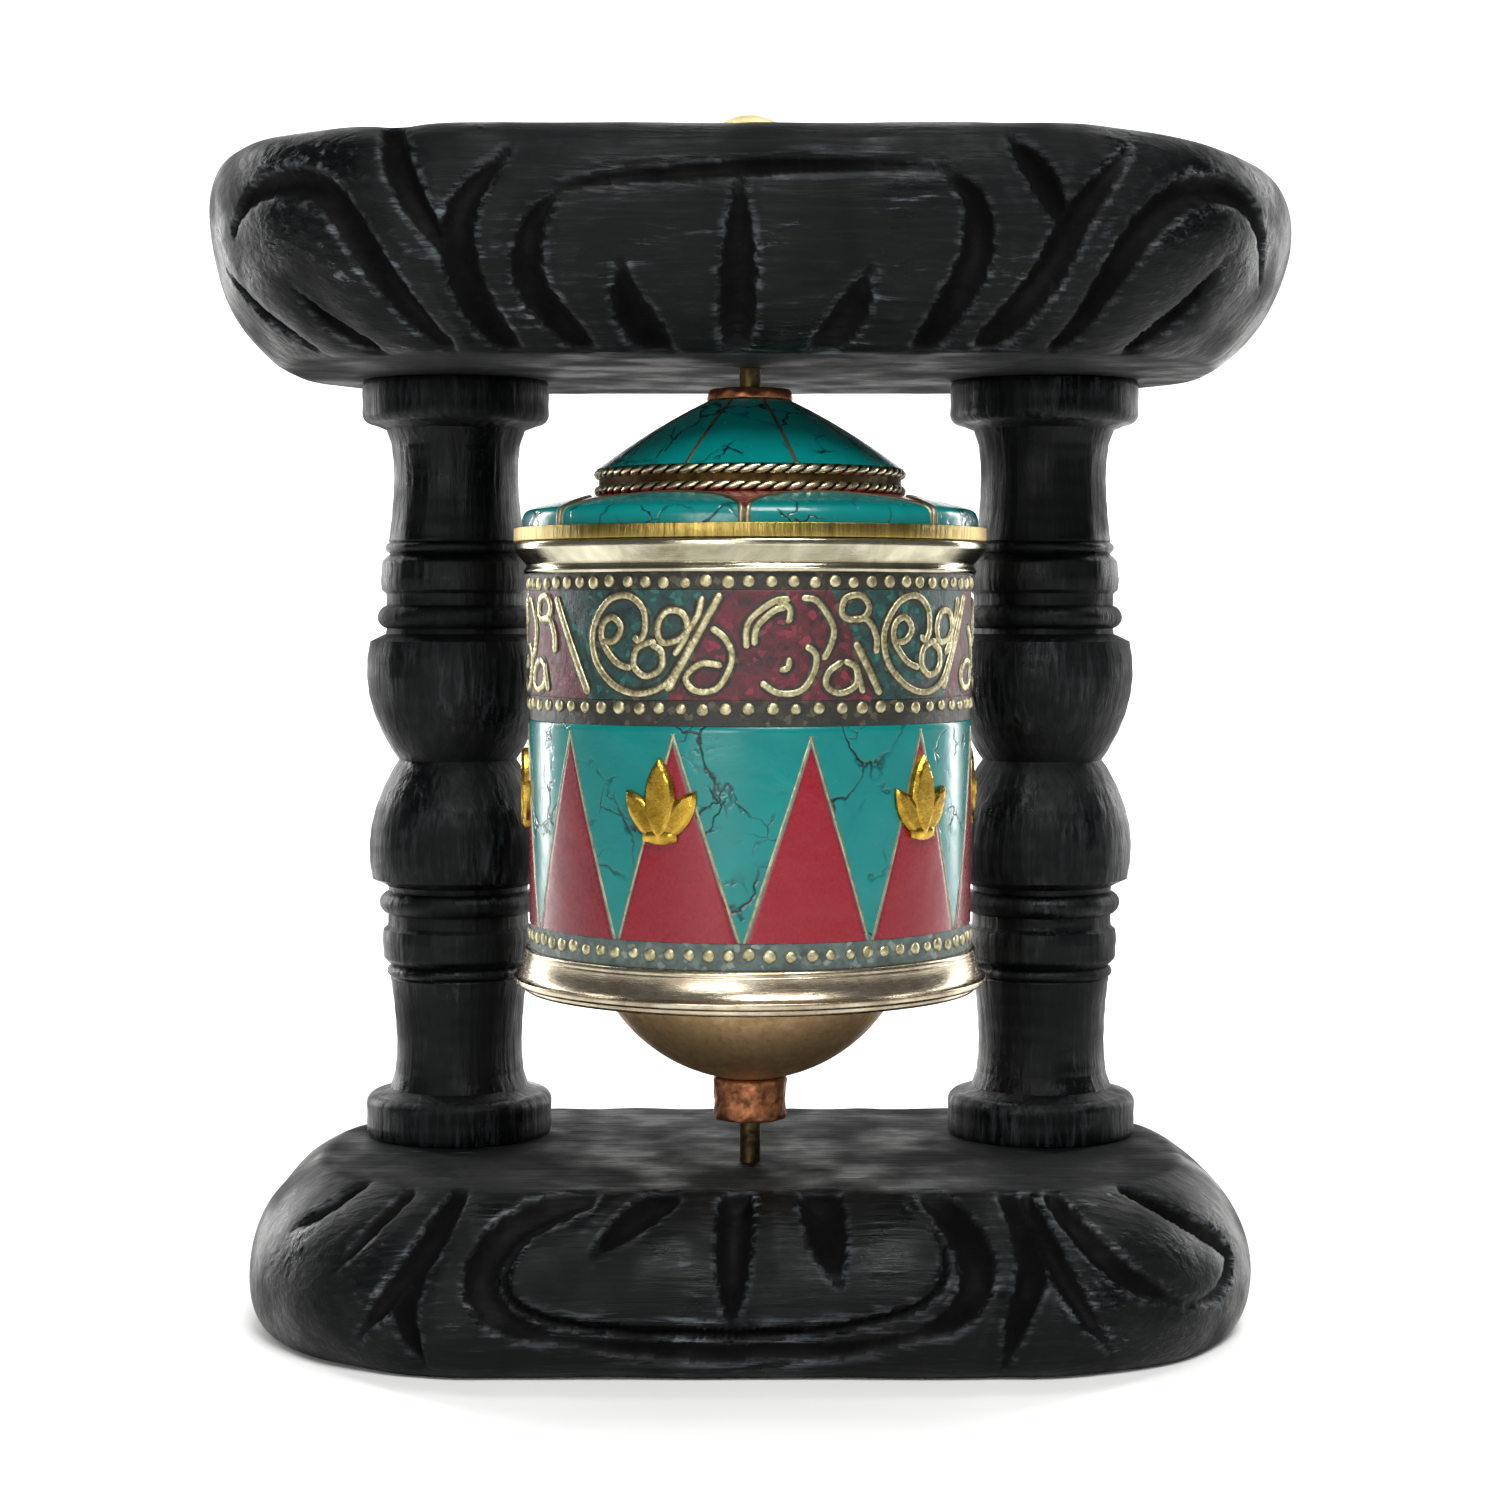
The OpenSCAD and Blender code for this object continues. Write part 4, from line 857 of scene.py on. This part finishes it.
# A coral field: a broken circle with crescents inside, and a loop with a tail on each side
coral_wires = [
    [(-6.4, -0.6), (-6.1, 3.2), (-2.6, 6.1), (0, 6.5)],
    [(-5.3, -0.2), (-4.9, 2.6), (-2.4, 4.9), (-0.6, 5.3)],
    [(1.3, 6.7), (3.8, 6.1), (6.1, 2.6), (5.7, 0), (4.5, -2.2)],
    [(-4.5, -5.1), (-1.9, -6.7), (1.3, -6.4), (3.2, -3.8), (3.5, -1.3), (1.9, 0)],
    [(-1.9, -3.5), (-0.6, -3.2), (-0.3, -1.6)], [(-2.5, 6.4), (-0.3, 5.2), (-0.5, 2.9)],
    [(-11.5, 2.6), (-9.4, 1), (-8.4, -1.3), (-9, -3.8), (-10.8, -6.2), (-13.7, -6.4), (-15, -4.5),
     (-12.8, -2.6), (-9.6, -2.9)],
    [(7.7, -2.2), (5.4, -3.8), (5.1, -5.7), (7, -6.8), (9.6, -5.7), (9.6, -3.2), (7.7, -2.2)],
    [(9.6, -2.6), (10.2, -4.8), (10.9, -7)],
    [(8.6, 3.6), (10.8, 3.8), (11.8, 5.4), (10.4, 7), (8, 6.6), (7.4, 4.6), (8.6, 3.6), (11.4, 3.6),
     (13, 1.2), (13, -1.4)],
]
borders, scrolls, dark_wire_outlines = [], [], []
top_x, foot_x = wall_r * TEAL_TOP, wall_r * TEAL_FOOT
for centre, gap in zip(teal_centres, (7.0, 0.5, 7.0, 0.5)):
    lean_x = (gap + 7.2) / 14.2 * (top_x - foot_x)
    for points in ([(-foot_x, -7.2), (-foot_x - 0.5 * lean_x, -3.5 + gap / 2), (-foot_x - lean_x, gap)],
                   [(foot_x, -6.6), ((foot_x + top_x) / 2, 0.3), (top_x, 7.4)]):
        borders += wire_on_wall(centre, points, 1.15)
        dark_wire_outlines += wire_on_wall(centre, points, 2.0, 0.05)
for middles, wires in ((np.radians([-34, 42.5, 138.5, 229.5]), teal_wires),
                       (np.radians([10, 93, 186, 280]), coral_wires)):
    for centre in middles:
        for points in wires:
            scrolls += wire_on_wall(centre, points)
            dark_wire_outlines += wire_on_wall(centre, points, 1.8, 0.05)
# Brass wire, hammered flat and filed: cream-gold, nicked across its length
scroll_brass = metal("Brass_wire_filed", "#7d7453", "#cfc7a2", (0.32, 0.58), 1.2, 0.8, (1, 1, 1), 0.5)
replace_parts(solid("Scroll_wires", scrolls, scroll_brass, "wheel", 60), "scroll_wires")
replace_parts(solid("Field_border_wires", borders, scroll_brass, "wheel", 60), "field_wires")
# Dark ribbons along both sides of the wires, a little wider than them
solid("Dark_wire_outlines", dark_wire_outlines, dark_paste, "wheel", 60)


# ---- dotted strips ----
# Rows of short brass pins, driven into dark mastic above and below the scrolls and into grey
# mastic at the drum's foot, and filed to low domes.
def dots(z, pitch, radius=0.9, height=0.3):
    """Row of domes round the wall about a pitch apart. Each is a closed stack of rings, whose
    size and height follow a quarter circle, and is a little uneven in size and place."""
    count = round(2 * math.pi * wall_r / pitch)
    t = np.radians([0, 30, 60, 90])
    size = np.concatenate([[0, 1], np.cos(t)])[:, None]
    out = np.concatenate([[-0.3, -0.3], height * np.sin(t)])[:, None]
    a = np.radians(np.arange(0, 360, 36))[None, :]
    grids = []
    for k, (shift, grow, drop) in enumerate(rng.normal(0, 1, (count, 3))):
        r = radius * (1 + 0.07 * grow) * size
        angle = 2 * math.pi * k / count + (0.12 * shift + r * np.cos(a)) / wall_r
        grids.append((on_wheel(angle, wall_r + out, z + 0.1 * drop + r * np.sin(a)), False, True, None))
    return grids


for name, node, strip, strip_node, mat, slot, pitch in (
        ("Upper_dots", "upper_dots", "Upper_dot_strip", "upper_dot_strip", dark_paste, "dark_paste", 3.05),
        ("Lower_dots", "lower_dots", "Lower_dot_strip", "lower_dot_strip", dark_paste, "dark_paste", 3.3),
        ("Base_dots", "base_dots", "Base_dot_strip", "base_dot_strip", grey_paste, "grey_paste", 2.93)):
    lo, hi = box_mm(node)
    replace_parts(solid(name, dots((lo[2] + hi[2]) / 2, pitch), scroll_brass, "wheel", 60), node)
    lo, hi = box_mm(strip_node)
    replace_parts(solid(strip, [ring(lo[2], hi[2], wall_r - 0.1, 1.0, 0.05)], mat, "wheel", 50),
                strip_node)


# ---- lotus ornaments ----
# Six small lotus buds, sawn from thick brass sheet, bevelled and riveted from behind to the wall.
def leaf_plate(angle, foot, length, width, turn, height):
    """Leaf between two arcs that stands on its tip, turned in the wall's plane: rows go up the
    leaf and columns across it, and its face rises from bevelled sides to the height."""
    q = np.linspace(0.0, 1, 26)[:, None]
    r = (length ** 2 / 4 + width ** 2 / 4) / width
    wide = np.maximum(np.sqrt(r ** 2 - (length * (q - 0.5)) ** 2) - (r - width / 2), 0.01)
    p = eased(15)[None, :] * 2 - 1
    x, y = p * wide, length * q + 0 * p
    c, s = math.cos(turn), math.sin(turn)
    across, rise = x * c - y * s, x * s + y * c
    near = (1 - np.abs(p)) * wide
    outer = wall_r + height - 0.5 * np.clip(1 - near / 0.45, 0, 1)
    bend = angle + across / wall_r
    return plate(bend, (outer, foot + rise), (np.full(bend.shape, wall_r - 0.1), foot + rise))


lo, hi = box_mm("lotus_ornaments")
buds = []
for angle in np.radians([-22, 47, 99, 158, 214, 272]):
    foot = lo[2] + 0.4
    for length, width, turn, height in ((12, 4.6, 0, 1.2), (9, 3.6, math.radians(36), 1.0),
                                        (9, 3.6, math.radians(-36), 1.0)):
        buds += leaf_plate(angle, foot, length, width, turn, height)
    u = np.linspace(-1, 1, 13)
    rows = np.linspace(0, 1, 6)
    cup_low, cup_high = foot - 0.3 + 0.5 * u ** 2, foot + 2.0 - 0.4 * u ** 2
    up = cup_low + (cup_high - cup_low) * rows[:, None]
    near = np.minimum(1 - np.abs(u) + 0 * up, np.minimum(rows, 1 - rows)[:, None] * 1.2)
    face = wall_r + 1.1 - 0.4 * np.clip(1 - near / 0.3, 0, 1)
    bend = angle + 2.6 * u / wall_r + 0 * up
    buds += plate(bend, (face, up), (np.full(bend.shape, wall_r - 0.1), up))
# Brass sheet, sawn, filed and buffed: strong yellow gold, bright along its bevels
cut_brass = metal("Brass_sheet_sawn_buffed", "#8a6a20", "#cfa945", (0.16, 0.34), 2.5, 0.4, (1, 1, 1), 0.5)
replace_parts(solid("Lotus_ornaments", buds, cut_brass, "wheel", 30), "lotus_ornaments")

# ---- cove and edge band ----
# A cast white-metal moulding, turned to a deep hollow over a bead, with a flat brass band
# soldered on top of it and filed upright.
lo, hi = box_mm("top_flange")
rim, cove_low, cove_high = (hi[0] - lo[0]) / 2, lo[2], hi[2]
hollow = rim - wall_r - 0.3
t = np.radians(np.linspace(0, 90, 16))
cove_line = softened(np.concatenate([
    [[wall_r - 1, cove_low], [wall_r + 0.5, cove_low], [wall_r + 0.8, cove_low + 0.5],
     [wall_r + 0.4, cove_low + 1.0]],
    np.column_stack([rim - hollow * np.cos(t),
                     cove_low + 1.4 + (cove_high - cove_low - 2.6) * (1 - np.cos(t))]),
    [[rim, cove_high - 0.4], [rim - 0.4, cove_high], [wall_r - 1, cove_high]]]), 0.2)
# White metal, cast, turned and polished: silvery cream with fine rings and sharp reflections
white_metal = metal("White_metal_turned_polished", "#968f76", "#cfc9b2", (0.08, 0.22), 6.0, 0.25,
                    (1, 1, 12), 2.0)
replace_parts(solid("Upper_cove", [turned(cove_line, AXIS, 256)], white_metal, "wheel", 50),
            "top_flange")

lo, hi = box_mm("edge_band")
band_r = (hi[0] - lo[0]) / 2
edge_line = softened([[band_r - 0.5, lo[2]], [band_r, lo[2]], [band_r, hi[2]], [band_r - 0.5, hi[2]]], 0.12)
# Brass strip, filed across: gold with fine upright file lines about 0.7 mm apart
filed, tree, shader, where = finish("Brass_strip_cross_filed", Metallic=1.0, Roughness=0.32)
round_uv = add(tree, "UVMap", uv_map="UVMap")
stretched = add(tree, "Mapping", {"Vector": round_uv, "Scale": (1, 0.06, 1)})
file_line = add(tree, "TexNoise", {"Vector": stretched, "Scale": 1000 / 1.1, "Detail": 5.0,
                                   "Roughness": 0.75})
bump = add(tree, "Bump", {"Height": file_line, "Distance": 0.0002, "Strength": 0.8})
join(shader, Base_Color=tint(tree, file_line, (0.3, 0.7), "#5c4b22", "#c0a75c"), Normal=bump)
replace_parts(solid("Edge_band", [turned(edge_line, AXIS, 256)], filed, "wheel", 50), "edge_band")

# ---- shoulder ----
# The drum's sloping lid: coral stone with seven turquoise petals along its rim, each
# set in a bent brass wire.
lo, hi = box_mm("shoulder_coral")
shoulder_r, shoulder_low, shoulder_high = (hi[0] - lo[0]) / 2, lo[2], hi[2]
rope_r = 23.65
EDGE_BAND_H = 2.0
run, drop = shoulder_r - rope_r, shoulder_high - shoulder_low - EDGE_BAND_H


def shoulder_line(deep):
    """Lid's outline at a depth inside its face, as (radius, height): a low slope, a rounded
    corner and an upright rim that stands inside the edge band."""
    return np.array([[rope_r - 2.2, shoulder_high - deep], [rope_r, shoulder_high - deep],
                     [rope_r + 0.55 * run, shoulder_high - 0.22 * drop - deep],
                     [shoulder_r - 1.4 - deep, shoulder_high - 0.42 * drop - deep],
                     [shoulder_r - 0.4 - deep, shoulder_high - 0.53 * drop - deep],
                     [shoulder_r - deep, shoulder_high - 0.72 * drop - deep],
                     [shoulder_r - deep, shoulder_low]])


lid_line = softened(np.concatenate([shoulder_line(0.04), shoulder_line(1.2)[::-1]]), 0.3)
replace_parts(solid("Coral_lid", [turned(lid_line, AXIS, 256)], coral, "wheel", 50),
            "shoulder_coral")
# The line again at even steps, with the normal there, to lay plates and wires on
path = through(shoulder_line(0), 12)
path_far = along(path)
normal = np.gradient(path, axis=0)[:, ::-1] * [-1, 1]
normal /= np.linalg.norm(normal, axis=1)[:, None]


def on_lid(far, rise):
    """Radius and height of a point that far along the lid's line, raised off its face."""
    return tuple(np.interp(far, path_far, path[:, i]) + rise * np.interp(far, path_far, normal[:, i])
                 for i in (0, 1))


# A petal is where an upright round post would cut the lid: its tip lies just outside the rope
# band, and its neighbours are a small angle away at the rim
PETALS = 7
petal_tip, petal_half = rope_r + 1.6, math.radians(180 / PETALS - 1.4)
post_far = (shoulder_r ** 2 - petal_tip ** 2) / 2 / (shoulder_r * math.cos(petal_half) - petal_tip)
post_r = post_far - petal_tip
rim_far = np.interp(shoulder_r - 0.01, path[:, 0], path_far)
petals, petal_wires = [], []
far = np.concatenate([np.interp(np.linspace(petal_tip + 0.05, shoulder_r - 0.01, 30), path[:, 0], path_far),
                      np.linspace(rim_far, path_far[-1], 8)[1:]])
radius = np.minimum(np.interp(far, path_far, path[:, 0]), shoulder_r)
swing = np.arccos(np.clip((radius ** 2 + post_far ** 2 - post_r ** 2) / (2 * radius * post_far), -1, 1))
start = math.acos((post_far ** 2 + post_r ** 2 - shoulder_r ** 2) / (2 * post_far * post_r))
way = np.linspace(-start, start, 60)[:, None]
width = post_r + np.linspace(-0.05, 0.85, 6)[None, :]
x, y = post_far - width * np.cos(way), width * np.sin(way)
wire_far = np.interp(np.minimum(np.hypot(x, y), shoulder_r - 0.01), path[:, 0], path_far)
wire_bend = np.arctan2(y, x)
down = np.linspace(rim_far, path_far[-1], 8)[:, None] + 0 * width
wire_far = np.concatenate([down[::-1], wire_far, down])
wire_bend = np.concatenate([np.repeat(wire_bend[:1], 8, 0), wire_bend, np.repeat(wire_bend[-1:], 8, 0)])
crown = 0.22 * np.sin(np.linspace(0, math.pi, 6))[None, :] + 0 * wire_far
for k in range(PETALS):
    centre = math.radians(24.4 + 360 * (k + 1) / PETALS)
    angle = centre + swing[:, None] * (eased(21) * 2 - 1)[None, :]
    reach = np.broadcast_to(far[:, None], angle.shape)
    petals += plate(angle, on_lid(reach, 0.06), on_lid(reach, -0.5))
    petal_wires += plate(centre + wire_bend, on_lid(wire_far, 0.05 + crown), on_lid(wire_far, -0.4))
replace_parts(solid("Turquoise_petals", petals, turquoise, "wheel", 50), "shoulder_turquoise")
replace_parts(solid("Petal_wires", petal_wires, wire_brass, "wheel", 50), "shoulder_wires")

# ---- rope band ----
# A tarnished brass band between two twisted wires, soldered round the foot of the cone.
lo, hi = box_mm("rope_band")
rope_low, rope_high = lo[2], hi[2]
band_line = [[rope_r - 1.75, rope_low], [rope_r - 0.75, rope_low], [rope_r - 0.75, rope_high],
             [rope_r - 1.75, rope_high]]
# Brass band, tarnished: dark brown with a few lighter rubs
tarnished = metal("Brass_tarnished", "#241a0e", "#5c4524", (0.4, 0.65), 2.0, 0.5, (1, 1, 6))
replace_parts(solid("Rope_band", [turned(softened(band_line, 0.1), AXIS, 192)], tarnished,
                  "wheel", 50), "rope_band")


def twisted_ring(z, radius, thick, turns):
    """Two round strands twisted about each other into a ring: the rope's section is an oval
    with two lobes that turns as it goes round. Returns the grid and how deep each point lies."""
    a = np.linspace(0, 2 * math.pi, turns * 14, endpoint=False)[:, None]
    t = np.linspace(0, 2 * math.pi, 16, endpoint=False)[None, :]
    crest = np.abs(np.cos(t - turns * a / 2)) ** 0.6
    lobe = thick * (0.6 + 0.4 * crest)
    points = on_wheel(a + 0 * t, radius + lobe * np.cos(t), z + lobe * np.sin(t))
    return (points, True, True, None), 1 - crest


# Brass wire, drawn, twisted and polished by wear: cream-gold strands with dark dirt between
rope_brass = metal("Brass_wire_twisted", "#a0946e", "#f3ebc8", (0.2, 0.4), 1.0, 0.4, (1, 1, 1), 0.5,
                   dirt="gap")
for name, node, z in (("Upper_rope", "upper_rope", rope_high - 0.75),
                      ("Lower_rope", "lower_rope", rope_low + 0.75)):
    grid, gap = twisted_ring(z, rope_r - 0.76, 0.78, 64)
    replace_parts(solid(name, [grid], rope_brass, "wheel", 80, {"gap": gap}), node)

# ---- cone and upper bush ----
# The lid's cone: nine curved panels of turquoise between thin brass strips, with a small copper
# collar where the spindle leaves it.
lo, hi = box_mm("cone_turquoise")
cone_low, cone_h = lo[2], hi[2] - lo[2]
u = np.linspace(0, 1, 40)
cone_out = np.column_stack([rope_r - 0.4 + (6.6 - rope_r) * u,
                            cone_low + cone_h * (u + 0.22 * u * (1 - u))])
cone_line = np.concatenate([cone_out, cone_out[::-1] - [2, 0]])
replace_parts(solid("Turquoise_cone", [turned(cone_line, AXIS, 256)], turquoise, "wheel", 50),
            "cone_turquoise")
PANELS, strips = 9, []
for k in range(PANELS):
    centre = math.radians(16.7 + 360 * (k + 1) / PANELS)
    side = np.linspace(-1, 1, 7)[None, :]
    reach, z = cone_out[:, :1], cone_out[:, 1:]
    bend = centre + 0.3 * side / np.maximum(reach, 4)
    crown = 0.1 * (1 - side ** 2)
    strips += plate(bend, (reach + crown * 0.45, z + 0.02 + crown * 0.9),
                    (reach - 0.6 + 0 * side, z - 0.6 + 0 * side))
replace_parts(solid("Cone_strips", strips, wire_brass, "wheel", 50), "cone_wires")

lo, hi = box_mm("top_bush")
top_r = (hi[0] - lo[0]) / 2
collar_line = softened([[2.7, lo[2]], [top_r, lo[2]], [top_r - 0.1, lo[2] + 0.9], [top_r - 0.6, hi[2]],
                        [2.7, hi[2]]], 0.3)
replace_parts(solid("Upper_bush", [turned(collar_line, AXIS, 96, dents)], copper, "wheel", 50),
            "top_bush")
